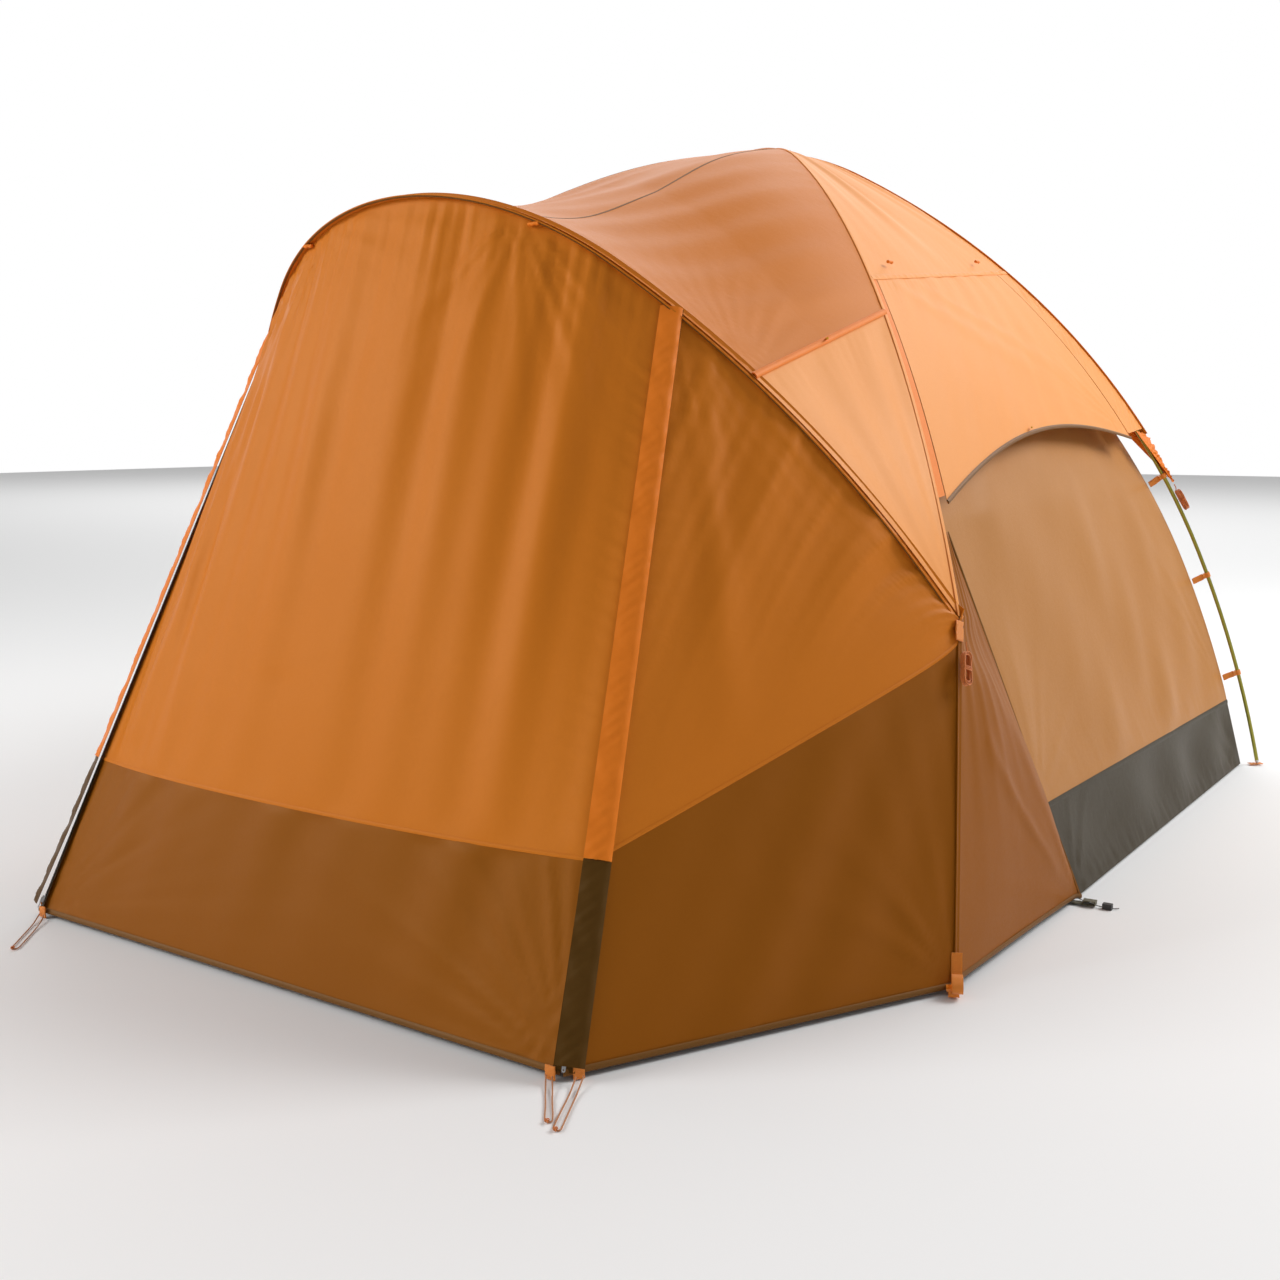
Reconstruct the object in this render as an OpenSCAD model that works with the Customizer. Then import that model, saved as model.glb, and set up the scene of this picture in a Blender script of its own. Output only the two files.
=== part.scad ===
// Dome tent with two crossing main poles, a forward hoop pole and a front vestibule.
// Frame: +Z up, ground at Z = 0, front door towards -Y, origin under the middle of the footprint.
// Most modules work in the crown frame, whose vertical axis passes through the pole crossing.

/* [Main poles] */
// Height of the pole crossing above the ground
crown_h = 1930; // [1880:10:1980]
// Distance of the pole crossing behind the origin
crown_y = 419; // [400:1:440]
// Half spread of the rear pole feet across the tent
foot_x = 1248; // [1200:2:1280]
// Rear pole feet behind the crossing
foot_y = 1198; // [1160:2:1220]
// Inward lean of the pole legs at the ground, degrees
leg_lean = 13.6; // [12:0.2:15]
// Bend of each leg section, degrees
leg_bend = 12; // [10:0.5:14]
// Bend of each shoulder section, degrees
shoulder_bend = 41.2; // [38:0.2:43]
// Radius of the shoulder bend
shoulder_r = 2370; // [2300:10:2440]
// Turn of the front legs towards the vestibule where the hoop pushes them, degrees
leg_turn = 20.5; // [15:0.5:24]

/* [Hoop pole] */
// Half spread of the hoop feet
hoop_x = 1196; // [1188:1:1200]
// Hoop feet in front of the crossing
hoop_y = 580; // [560:2:600]
// Height of the hoop top
hoop_h = 1619; // [1590:1:1640]
// Forward lean of the hoop plane from upright, degrees
hoop_lean = 31.25; // [30:0.25:32.5]
// Bend of the hoop's leg sections, degrees
hoop_leg_bend = 22.4; // [20:0.2:25]
// Bend of the hoop's shoulder sections, degrees
hoop_shoulder_bend = 24.8; // [22:0.2:27]
// Radius of the hoop's shoulder bend
hoop_shoulder_r = 2030; // [1950:10:2100]

/* [Tubes] */
// Outer diameter of the pole tube
tube_d = 12; // [11:0.5:13]
// Wall of the pole tube
tube_wall = 1.2; // [0.8:0.1:1.5]
// Diameter of the elastic cord inside the poles
shock_d = 3; // [2.5:0.5:3.5]

/* [Fabric] */
// Thickness of the fabric solids
cloth_t = 4; // [3:0.5:5]
// Fly seam lines outside the pole centre lines
fly_gap = 22; // [20:1:26]
// Inner tent hangs inside the pole centre lines
body_gap = 60; // [50:1:70]
// Height of the bathtub floor walls at the front
tub_h = 215; // [180:5:240]
// Extra height of the bathtub floor walls at the rear corners
tub_rise = 70; // [40:5:90]

/* [Vestibule] */
// Half width of the vestibule's front hem
hem_x = 779; // [760:1:800]
// Front hem in front of the crossing
hem_y = 2045; // [2030:1:2055]
// Height of the hem above the ground
hem_z = 12; // [8:1:20]
// Clearance between the hoop and the free top edge of the door
door_gap = 34; // [30:1:45]
// Width of the storm flaps over the zips
flap_w = 52; // [40:2:60]

/* [Hidden] */

$fn = 32;
tube_r = tube_d / 2;
bore_r = tube_r - tube_wall;
pole_play = 0.15;
z_step = tube_r + 0.4;
orange = [0.84, 0.47, 0.16];
light_orange = [0.96, 0.66, 0.40];
brown = [0.47, 0.27, 0.06];
tan_cloth = [0.74, 0.52, 0.29];
olive = [0.28, 0.26, 0.21];
pole_green = [0.50, 0.50, 0.12];
webbing_orange = [0.95, 0.45, 0.05];
black_plastic = [0.05, 0.05, 0.05];

// Routes of the stake loops on the ground, in the part's own frame
stake_loop_front = [
    [749, -1637, 10], [756, -1646, 8], [765, -1658, 5], [776, -1672, 3], [788, -1688, 2],
    [801, -1704, 2], [815, -1722, 2], [829, -1741, 2], [838, -1753, 2], [843, -1759, 2],
    [847, -1762, 2], [852, -1761, 2], [855, -1757, 2], [853, -1751, 2], [845, -1740, 2],
    [833, -1725, 2], [820, -1709, 2], [807, -1693, 2], [795, -1677, 3], [784, -1663, 5],
    [773, -1649, 8], [763, -1637, 10]];
stake_loop_side = [
    [799, -1615, 10], [804, -1626, 8], [810, -1640, 5], [818, -1657, 3], [827, -1677, 2],
    [836, -1697, 2], [845, -1717, 2], [855, -1739, 2], [864, -1758, 2], [871, -1772, 2],
    [876, -1777, 2], [882, -1776, 2], [885, -1771, 2], [882, -1763, 2], [873, -1744, 2],
    [863, -1723, 2], [853, -1702, 2], [843, -1681, 2], [834, -1661, 3], [825, -1642, 5],
    [817, -1624, 8], [807, -1603, 10]];
stake_loop_left = [
    [-763, -1637, 10], [-756, -1646, 8], [-746, -1658, 5], [-733, -1673, 3], [-717, -1692, 2],
    [-700, -1712, 2], [-683, -1732, 2], [-666, -1752, 2], [-649, -1772, 2], [-634, -1790, 2],
    [-626, -1796, 2], [-620, -1794, 2], [-618, -1788, 2], [-622, -1780, 2], [-635, -1764, 2],
    [-651, -1745, 2], [-668, -1725, 2], [-685, -1705, 2], [-702, -1685, 3], [-718, -1666, 5],
    [-734, -1649, 8], [-747, -1637, 10]];

// ---- vector helpers ----
function unit(v) = v / norm(v);
function mix(a, b, t) = a + (b - a) * t;
function spread(n) = [for (i = [0:n]) i / n];

// ---- a bent pole: three tangent arcs per half, foot to crown ----
// Half profile record: [heading angles], [radii], [arc centres], [arc lengths]
function run_x(a, b) = cos(a) - cos(b);
function run_z(a, b) = sin(b) - sin(a);
function end_radii(span, height, a, mid_r) =
    let (x0 = run_x(a[0], a[1]), x2 = run_x(a[2], a[3]), z0 = run_z(a[0], a[1]), z2 = run_z(a[2], a[3]),
         sx = span - mid_r * run_x(a[1], a[2]), sz = height - mid_r * run_z(a[1], a[2]),
         det = x0 * z2 - x2 * z0)
    [(sx * z2 - x2 * sz) / det, (x0 * sz - sx * z0) / det];
function half_profile(span, height, lean, bend_1, bend_2, mid_r) =
    let (a = [lean, lean + bend_1, lean + bend_1 + bend_2, 90],
         ends = end_radii(span, height, a, mid_r),
         r = [ends[0], mid_r, ends[1]],
         c0 = [span - r[0] * cos(a[0]), -r[0] * sin(a[0])],
         p1 = c0 + r[0] * [cos(a[1]), sin(a[1])],
         c1 = p1 - r[1] * [cos(a[1]), sin(a[1])],
         c2 = [0, height - r[2]])
    [a, r, [c0, c1, c2], [for (i = [0:2]) r[i] * (a[i + 1] - a[i]) * PI / 180]];
// Heading angle at a length s from the foot, and the point there, off mm outside the centre line
function heading(h, s) =
    let (l = h[3], a = h[0])
    s < l[0] ? a[0] + (a[1] - a[0]) * s / l[0] :
    s < l[0] + l[1] ? a[1] + (a[2] - a[1]) * (s - l[0]) / l[1] :
    a[2] + (a[3] - a[2]) * (s - l[0] - l[1]) / l[2];
function arc_index(h, s) = s < h[3][0] ? 0 : s < h[3][0] + h[3][1] ? 1 : 2;
function profile_point(h, s, off = 0) =
    let (t = heading(h, s), i = arc_index(h, s))
    h[2][i] + (h[1][i] + off) * [cos(t), sin(t)];
function half_length(h) = h[3][0] + h[3][1] + h[3][2];
// Length from the foot at which the pole reaches a height
function length_at(h, z) =
    let (z1 = profile_point(h, h[3][0]).y, z2 = profile_point(h, h[3][0] + h[3][1]).y,
         i = z < z1 ? 0 : z < z2 ? 1 : 2,
         t = asin((z - h[2][i].y) / h[1][i]),
         before = i == 0 ? 0 : i == 1 ? h[3][0] : h[3][0] + h[3][1])
    before + (t - h[0][i]) * h[1][i] * PI / 180;

foot_span = norm([foot_x, foot_y]);
plane_turn = atan2(foot_y, foot_x);
main_half = half_profile(foot_span, crown_h, leg_lean, leg_bend, shoulder_bend, shoulder_r);
low_half = half_profile(foot_span, crown_h - z_step, leg_lean, leg_bend, shoulder_bend, shoulder_r);
high_half = half_profile(foot_span, crown_h + z_step, leg_lean, leg_bend, shoulder_bend, shoulder_r);
hoop_half = half_profile(hoop_x, hoop_h / cos(hoop_lean), 0.8, hoop_leg_bend, hoop_shoulder_bend,
    hoop_shoulder_r);
leg_len = main_half[3][0];

// ---- points on the three poles, crown frame, right-hand side ----
function flat_dir(a) = [cos(a), sin(a)];
function lift(p, dir) = [p.x * dir.x, p.x * dir.y, p.y];
function rear_point(s, off = 0) = lift(profile_point(main_half, s, off), flat_dir(plane_turn));
function front_point(s, off = 0) =
    let (p = profile_point(main_half, s, off), knee = profile_point(main_half, leg_len, off),
         out = flat_dir(-plane_turn), turned = flat_dir(-plane_turn - leg_turn))
    s >= leg_len ? lift(p, out) :
    [knee.x * out.x + (p.x - knee.x) * turned.x, knee.x * out.y + (p.x - knee.x) * turned.y, p.y];
function hoop_place(p) = [p.x, -hoop_y - p.y * sin(hoop_lean), p.y * cos(hoop_lean)];
function hoop_point(s, off = 0) = hoop_place(profile_point(hoop_half, s, off));

// Named lengths along the poles
main_full = half_length(main_half);
hoop_full = half_length(hoop_half);
knee_h = front_point(leg_len).z;
knee_hoop_s = length_at(hoop_half, knee_h / cos(hoop_lean));
zip_hoop_s = length_at(hoop_half, 1372 / cos(hoop_lean));
vent_hoop_s = length_at(hoop_half, 1234 / cos(hoop_lean));
vent_s = length_at(main_half, 1395);
seam_front_s = length_at(main_half, 1484);
seam_rear_s = length_at(main_half, 1594);
hem_front_s = length_at(main_half, 954);
hem_rear_s = length_at(main_half, 1099);
crown_edge = 70;
crown_s = main_full - crown_edge;

// Fly seam line over the hoop: it spreads where the main leg crosses outside the hoop
function hoop_fly(s) =
    let (near = pow(max(0, (hoop_full - s) / (hoop_full - knee_hoop_s)), 6))
    hoop_point(s, fly_gap - 4 + 16 * near);
function front_fly(s) = front_point(s, fly_gap);
function rear_fly(s) = rear_point(s, fly_gap);

// ---- fabric solids from a grid: rows run down, columns run to the right seen from outside ----
function grid_normal(g, i, j) =
    let (m = len(g) - 1, n = len(g[0]) - 1)
    unit(cross(g[min(i + 1, m)][j] - g[max(i - 1, 0)][j], g[i][min(j + 1, n)] - g[i][max(j - 1, 0)]));
module sheet(g, t = cloth_t, lift_by = 0) {
    m = len(g);
    n = len(g[0]);
    outer = [for (i = [0:m - 1], j = [0:n - 1]) g[i][j] + lift_by * grid_normal(g, i, j)];
    inner = [for (i = [0:m - 1], j = [0:n - 1]) g[i][j] + (lift_by - t) * grid_normal(g, i, j)];
    k = m * n;
    skins = [for (i = [0:m - 2], j = [0:n - 2])
        let (a = i * n + j, b = a + 1, d = a + n, c = d + 1)
        each [[a, b, c], [a, c, d], [k + a, k + c, k + b], [k + a, k + d, k + c]]];
    top = [for (j = [0:n - 2]) each [[j + 1, j, k + j], [j + 1, k + j, k + j + 1]]];
    foot = [for (j = [0:n - 2]) let (p = (m - 1) * n + j, q = p + 1)
        each [[p, q, k + q], [p, k + q, k + p]]];
    left = [for (i = [0:m - 2]) let (p = i * n, q = p + n) each [[p, q, k + q], [p, k + q, k + p]]];
    right = [for (i = [0:m - 2]) let (p = i * n + n - 1, q = p + n)
        each [[q, p, k + p], [q, k + p, k + q]]];
    polyhedron(concat(outer, inner), concat(skins, top, foot, left, right), convexity = 6);
}
// A straight-ruled grid between two lists of points, trimmed by e mm at both ends
function ruled(p, q, n, e = 0) =
    [for (i = [0:len(p) - 1]) let (d = e / norm(q[i] - p[i]))
        [for (u = spread(n)) mix(p[i], q[i], d + u * (1 - 2 * d))]];
function turned_grid(g) = [for (j = [0:len(g[0]) - 1]) [for (i = [0:len(g) - 1]) g[i][j]]];

module at_crown() translate([0, crown_y, 0]) children();
module left_side() mirror([1, 0, 0]) children();
// Local axes given as columns
module axes(o, x, y, z)
    multmatrix([[x.x, y.x, z.x, o.x], [x.y, y.y, z.y, o.y], [x.z, y.z, z.z, o.z], [0, 0, 0, 1]]) children();

// ---- pole tubes ----
module ring(r_out, r_in) difference() {
    circle(r_out);
    if (r_in > 0) circle(r_in);
}
// Arc i of a half profile, from length s0 to s1, in the XZ plane; it may run on past the arc's ends
function arc_start(h, i) = i == 0 ? 0 : i == 1 ? h[3][0] : h[3][0] + h[3][1];
module arc_run(h, i, s0, s1, r_out, r_in) {
    per_mm = 180 / PI / h[1][i];
    translate([h[2][i].x, 0, h[2][i].y]) rotate([90, 0, 0])
        rotate([0, 0, h[0][i] + (s0 - arc_start(h, i)) * per_mm])
        rotate_extrude(angle = (s1 - s0) * per_mm) translate([h[1][i], 0]) ring(r_out, r_in);
}
// Plane of one half of a main pole; legs on the front turn about the knee
module half_plane(azimuth) rotate([0, 0, azimuth]) children();
module knee_turn(h, turn) {
    knee = profile_point(h, h[3][0]);
    translate([knee.x, 0, 0]) rotate([0, 0, turn]) translate([-knee.x, 0, 0]) children();
}
joint_slit = 0.3;
leg_tubes = 2;
shoulder_tubes = 3;
hoop_leg_tubes = 2;
hoop_shoulder_tubes = 2;
ferrule_half = 45;
ferrule_short = 12;
foot_start = 18;
knee_slit = 1.6;
tip_len = 38;
module split_run(h, i, s0, s1, count) {
    step = (s1 - s0) / count;
    for (k = [0:count - 1])
        arc_run(h, i, s0 + k * step + joint_slit / 2, s0 + (k + 1) * step - joint_slit / 2, tube_r, bore_r);
}
module half_legs(h, count, slit = 0) split_run(h, 0, foot_start, h[3][0] - slit, count);
module half_shoulders(h, count) split_run(h, 1, h[3][0], arc_start(h, 2), count);
// The crown bend runs across the top in one piece
module crown_run(h, r_out, r_in, slit = joint_slit / 2)
    arc_run(h, 2, arc_start(h, 2) + slit, 2 * half_length(h) - arc_start(h, 2) - slit, r_out, r_in);
module main_pole(h, front_azimuth, turn) {
    half_plane(front_azimuth) {
        knee_turn(h, turn) half_legs(h, leg_tubes, knee_slit);
        half_shoulders(h, shoulder_tubes);
        crown_run(h, tube_r, bore_r);
    }
    half_plane(front_azimuth + 180) {
        half_legs(h, leg_tubes);
        half_shoulders(h, shoulder_tubes);
    }
}
module hoop_plane() translate([0, -hoop_y, 0]) rotate([hoop_lean, 0, 0]) children();
module main_pole_low() color(pole_green) at_crown() main_pole(low_half, -plane_turn, -leg_turn);
module main_pole_high() color(pole_green) at_crown() main_pole(high_half, 180 + plane_turn, leg_turn);
module hoop_side() {
    half_legs(hoop_half, hoop_leg_tubes);
    half_shoulders(hoop_half, hoop_shoulder_tubes);
    arc_run(hoop_half, 2, arc_start(hoop_half, 2) + joint_slit / 2, hoop_full - joint_slit / 2,
        tube_r, bore_r);
}
module hoop_pole() color(pole_green) at_crown() hoop_plane() {
    hoop_side();
    left_side() hoop_side();
}

// Inserts inside the joints of the tubes
// Each follows the arc below its joint, and reaches only a little way into an arc of another radius
module insert_run(h, i, s0, s1) arc_run(h, i, s0, s1, bore_r - pole_play, shock_d / 2 + 0.4);
module ferrule(h, s, i) insert_run(h, i, s - ferrule_half,
    s + (s < arc_start(h, i) + h[3][i] - 1 ? ferrule_half : ferrule_short));
function leg_joint(h) = (foot_start + h[3][0]) / 2;
module upper_ferrules(h, shoulders) for (k = [1:shoulders]) ferrule(h, h[3][0] + h[3][1] * k / shoulders, 1);
module rear_ferrules(h, shoulders) {
    ferrule(h, leg_joint(h), 0);
    ferrule(h, h[3][0], 0);
    upper_ferrules(h, shoulders);
}
module front_ferrules(h, turn) {
    knee_turn(h, turn) ferrule(h, leg_joint(h), 0);
    upper_ferrules(h, shoulder_tubes);
}
module pole_ferrules() color("silver") at_crown() {
    $fn = 16;
    half_plane(-plane_turn) front_ferrules(low_half, -leg_turn);
    half_plane(180 - plane_turn) rear_ferrules(low_half, shoulder_tubes);
    half_plane(180 + plane_turn) front_ferrules(high_half, leg_turn);
    half_plane(plane_turn) rear_ferrules(high_half, shoulder_tubes);
    hoop_plane() {
        rear_ferrules(hoop_half, hoop_shoulder_tubes);
        left_side() rear_ferrules(hoop_half, hoop_shoulder_tubes);
        insert_run(hoop_half, 2, hoop_full - ferrule_half, hoop_full + ferrule_half);
    }
}

// Turned end pieces that stand in the corner grommets
module on_profile(h, s) {
    p = profile_point(h, s);
    translate([p.x, 0, p.y]) rotate([0, -heading(h, s), 0]) children();
}
tip_neck_r = 3.4;
tip_collar = 5;
module tip(h) on_profile(h, foot_start) {
    translate([0, 0, -tip_collar]) cylinder(r = tube_r + 0.6, h = tip_collar);
    translate([0, 0, -foot_start - 2]) cylinder(r = tip_neck_r, h = foot_start);
    translate([0, 0, -0.2]) cylinder(r = bore_r - pole_play, h = tip_len);
}
module pole_tips() color("silver") at_crown() intersection() {
    union() {
        half_plane(-plane_turn) knee_turn(low_half, -leg_turn) tip(low_half);
        half_plane(180 - plane_turn) tip(low_half);
        half_plane(180 + plane_turn) knee_turn(high_half, leg_turn) tip(high_half);
        half_plane(plane_turn) tip(high_half);
        hoop_plane() {
            tip(hoop_half);
            left_side() tip(hoop_half);
        }
    }
    translate([0, 0, 50]) cube([4000, 4000, 100], center = true);
}

// Elastic cord through every tube; the crown runs stop short of the bends by these
cord_slit = 8;
hoop_cord_slit = 26;
module cord_half(h, turn) {
    knee_turn(h, turn) arc_run(h, 0, foot_start + tip_len + 2, h[3][0] - 50, shock_d / 2, 0);
    arc_run(h, 1, h[3][0] + 50, arc_start(h, 2) - cord_slit, shock_d / 2, 0);
}
module shock_cords() color("black") at_crown() {
    half_plane(-plane_turn) {
        cord_half(low_half, -leg_turn);
        crown_run(low_half, shock_d / 2, 0, cord_slit);
    }
    half_plane(180 - plane_turn) cord_half(low_half, 0);
    half_plane(180 + plane_turn) {
        cord_half(high_half, leg_turn);
        crown_run(high_half, shock_d / 2, 0, cord_slit);
    }
    half_plane(plane_turn) cord_half(high_half, 0);
    hoop_plane() {
        cord_half(hoop_half, 0);
        left_side() cord_half(hoop_half, 0);
        crown_run(hoop_half, shock_d / 2, 0, hoop_cord_slit);
    }
}

// ---- clips that hang the inner tent from the poles ----
clip_h = 16;
clip_r = tube_r + 3;
lug_end = tube_r + 11;
rear_clip_lengths = [335, 690, 1060, 1420, 1780, 2140];
front_clip_lengths = [1060, 1420, 1780, 2140];
module clip() {
    difference() {
        union() {
            cylinder(r = clip_r, h = clip_h, center = true);
            translate([-lug_end, -4, -clip_h / 2]) cube([lug_end - tube_r, 8, clip_h]);
        }
        cylinder(r = tube_r + 0.2, h = clip_h + 2, center = true);
    }
}
module clip_tab() translate([-body_gap + 5, -1, -10]) cube([body_gap - 5 - lug_end - 0.2, 2, 20]);
module along_poles() {
    half_plane(-plane_turn) for (s = front_clip_lengths) on_profile(low_half, s) children();
    half_plane(180 + plane_turn) for (s = front_clip_lengths) on_profile(high_half, s) children();
    half_plane(180 - plane_turn) for (s = rear_clip_lengths) on_profile(low_half, s) children();
    half_plane(plane_turn) for (s = rear_clip_lengths) on_profile(high_half, s) children();
}
module pole_clips() color(black_plastic) at_crown() along_poles() clip();
module clip_tabs() color(webbing_orange) at_crown() along_poles() clip_tab();
module crown_clip() color(black_plastic) at_crown()
    translate([0, 0, crown_h - z_step - tube_r - 14.5]) {
        cylinder(r = 18, h = 6);
        translate([0, 0, -18]) cylinder(r = 5, h = 18.5);
        translate([0, 0, 5.5]) cylinder(r = 9, h = 8.5);
    }
// Rings that tie the hoop to the main legs where they cross
module crossing_ring(h, s) on_profile(h, s) difference() {
    cylinder(r = tube_r + 2.4, h = 12, center = true);
    cylinder(r = tube_r + 0.2, h = 14, center = true);
}
module crossing_clips() color(black_plastic) at_crown() {
    half_plane(-plane_turn) crossing_ring(low_half, leg_len + 48);
    half_plane(180 + plane_turn) crossing_ring(high_half, leg_len + 48);
    hoop_plane() {
        crossing_ring(hoop_half, knee_hoop_s + 48);
        left_side() crossing_ring(hoop_half, knee_hoop_s + 48);
    }
}

// ---- fly ----
seam_trim = 7;
rows = 12;
cols = 6;
function mirrored(p) = [-p.x, p.y, p.z];
module fly_crown_patch() color(orange) at_crown() {
    cap_r = main_half[1][2] + fly_gap + 8;
    translate([0, 0, crown_h + 10 - main_half[1][2]]) intersection() {
        difference() {
            sphere(r = cap_r, $fn = 96);
            sphere(r = cap_r - 3, $fn = 96);
        }
        translate([0, 0, cap_r - 40]) cylinder(r = 62, h = 60);
    }
}
// Roof between the front poles and the hoop: straight threads from pole to hoop
function roof_pole(a) =
    let (p = front_fly(mix(main_full - 4, vent_s, abs(a)))) a < 0 ? mirrored(p) : p;
function roof_hoop(a) =
    let (p = hoop_fly(mix(hoop_full, vent_hoop_s, abs(a)))) a < 0 ? mirrored(p) : p;
function across(n) = [for (i = [-n:n]) i / n];
module fly_roof_front() color(orange) at_crown() {
    sides = across(7);
    sheet(turned_grid(ruled([for (a = sides) roof_pole(a)], [for (a = sides) roof_hoop(a)], 6, 9)));
}
// Panels below the roof vents, down to the pole crossing
function shoulder_rows() = [for (i = [0:8]) 0.02 + 0.84 * i / 8];
module fly_shoulder() sheet(ruled(
    [for (t = shoulder_rows()) hoop_fly(mix(vent_hoop_s, knee_hoop_s, t))],
    [for (t = shoulder_rows()) front_fly(mix(vent_s, leg_len, t))], 4, seam_trim));
module fly_shoulder_right() color(light_orange) at_crown() fly_shoulder();
module fly_shoulder_left() color(light_orange) at_crown() left_side() fly_shoulder();
// Side sector: t runs 0 at the crown, 1 at the cover seam, 2 at the hem; u runs front to rear
function side_s(t, seam, hem) = t < 1 ? mix(crown_s, seam, t) : mix(seam, hem, t - 1);
function side_fly(t, u) = mix(front_fly(side_s(t, seam_front_s, hem_front_s)),
    rear_fly(side_s(t, seam_rear_s, hem_rear_s)), u);
cover_front = 0.03;
cover_rear = 0.90;
hem_arch = 0.16;
function side_grid(t0, t1, u0, u1, n, m) =
    [for (i = [0:n]) [for (j = [0:m]) side_fly(mix(t0, t1, i / n), mix(u0, u1, j / m))]];
module fly_side() {
    sheet(side_grid(0, 0.985, 0.012, 0.988, 7, cols));
    sheet(side_grid(0.995, 1.97, 0.010, cover_front - 0.006, 7, 1));
    sheet(side_grid(0.995, 1.97, cover_rear + 0.006, 0.990, 7, 2));
}
module fly_side_right() color(light_orange) at_crown() fly_side();
module fly_side_left() color(light_orange) at_crown() left_side() fly_side();
function cover_point(t, u) =
    side_fly(1 + t * (1 - hem_arch * 4 * u * (1 - u)), mix(cover_front, cover_rear, u));
module side_cover()
    sheet([for (i = [0:9]) [for (j = [0:8]) cover_point(mix(0.02, 1, i / 9), j / 8)]]);
module side_cover_right() color(light_orange) at_crown() side_cover();
module side_cover_left() color(light_orange) at_crown() left_side() side_cover();
// Rear sector, seen from behind its columns run from +X to -X
rear_arch = 0.10;
function rear_fly_point(t, u) =
    let (p = rear_fly(mix(crown_s, hem_rear_s, t * (1 - rear_arch * 4 * u * (1 - u)))))
    mix(p, mirrored(p), mix(0.007, 0.993, u));
module fly_rear() color(orange) at_crown()
    sheet([for (i = [0:10]) [for (j = [0:8]) rear_fly_point(0.98 * i / 10, j / 8)]]);

// ---- vestibule front ----
zip_top = hoop_fly(zip_hoop_s);
zip_foot = [hem_x, -hem_y, hem_z];
zip_len = norm(zip_top - zip_foot);
zip_gap = 8;
band_z = 357;
band_rise_z = 700;
function front_hoop(w) = let (p = hoop_fly(mix(hoop_full, zip_hoop_s, abs(w)))) w < 0 ? mirrored(p) : p;
function front_hem(w) = [hem_x * front_hoop(w).x / zip_top.x, -hem_y, hem_z];
function front_at(w, d) = mix(front_hoop(w), front_hem(w), d);
function front_drop(w, mm) = mm / norm(front_hem(w) - front_hoop(w));
function front_level(w, z) = (front_hoop(w).z - z) / (front_hoop(w).z - hem_z);
door_w = 1 - zip_gap / zip_top.x;
module front_panel(top_mm, low_z, n, m, w_end) sheet(
    [for (i = [0:n]) [for (w = across(m))
        let (ww = w * w_end, d0 = front_drop(ww, top_mm), d1 = front_level(ww, low_z))
        front_at(ww, mix(d0, d1, i / n))]]);
module hoop_sleeve() color(orange) at_crown() sheet(
    [for (i = [0:1]) [for (w = across(9)) front_at(w, front_drop(w, mix(3, door_gap - 8, i)))]]);
module vestibule_door() color(orange) at_crown() front_panel(door_gap, band_z + 1, 9, 7, door_w);
module door_band() color(brown) at_crown() sheet(
    [for (i = [0:3]) [for (w = across(6)) let (ww = w * door_w, d0 = front_level(ww, band_z - 1))
        front_at(ww, mix(d0, 1, i / 3))]]);

// ---- vestibule side: zip line and hoop in front, main leg behind, hem below ----
leg_foot_s = 18;
function side_top(v) =
    let (p = hoop_fly(mix(zip_hoop_s, knee_hoop_s, v))) mix(p, front_fly(leg_len), pow(v, 6));
function side_hem(v) = mix(zip_foot, [front_fly(leg_foot_s).x, front_fly(leg_foot_s).y, hem_z], v);
function leg_bow(v, d) = pow(v, 3) * (front_fly(mix(leg_len, leg_foot_s, d))
    - mix(front_fly(leg_len), front_fly(leg_foot_s), d));
function vestibule_at(v, d) = mix(side_top(v), side_hem(v), d) + leg_bow(v, d);
function band_at(v) = let (z0 = side_top(v).z) (z0 - mix(band_z, band_rise_z, v)) / (z0 - hem_z);
side_v0 = 0.015;
side_v1 = 0.985;
module vestibule_side() sheet([for (i = [0:7]) [for (j = [0:7])
    let (v = mix(side_v0, side_v1, j / 7)) vestibule_at(v, mix(0.012, band_at(v) - 0.002, i / 7))]]);
module vestibule_band() sheet([for (i = [0:5]) [for (j = [0:7])
    let (v = mix(side_v0, side_v1, j / 7)) vestibule_at(v, mix(band_at(v) + 0.002, 1, i / 5))]]);
module vestibule_side_right() color(orange) at_crown() vestibule_side();
module vestibule_side_left() color(orange) at_crown() left_side() vestibule_side();
module vestibule_band_right() color(brown) at_crown() vestibule_band();
module vestibule_band_left() color(brown) at_crown() left_side() vestibule_band();
// Gusset from the main leg, over the hoop's leg, back to the corner of the inner tent
gusset_foot = [hoop_x + 20, -hoop_y + 20, hem_z];
hoop_over = 14;
gusset_top = 0.07;
function gusset_front(t) = front_fly(mix(hem_front_s, leg_foot_s, t));
function gusset_rear(t) = mix(front_fly(hem_front_s), gusset_foot, t);
function gusset_ridge(t) =
    let (p = gusset_front(t), q = gusset_rear(t), z = mix(p.z, q.z, 0.5))
    z < knee_h - 30 ? hoop_point(length_at(hoop_half, z / cos(hoop_lean)), hoop_over) : mix(p, q, 0.1);
function gusset_row(t) =
    let (p = gusset_front(t), m = gusset_ridge(t), q = gusset_rear(t), e = seam_trim / norm(m - p))
    [mix(p, m, e), mix(p, m, 0.5), m, mix(m, q, 0.5), q];
module rear_gusset() sheet([for (i = [0:10]) gusset_row(mix(gusset_top, 1, i / 10))]);
module rear_gusset_right() color(brown) at_crown() rear_gusset();
module rear_gusset_left() color(brown) at_crown() left_side() rear_gusset();

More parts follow.
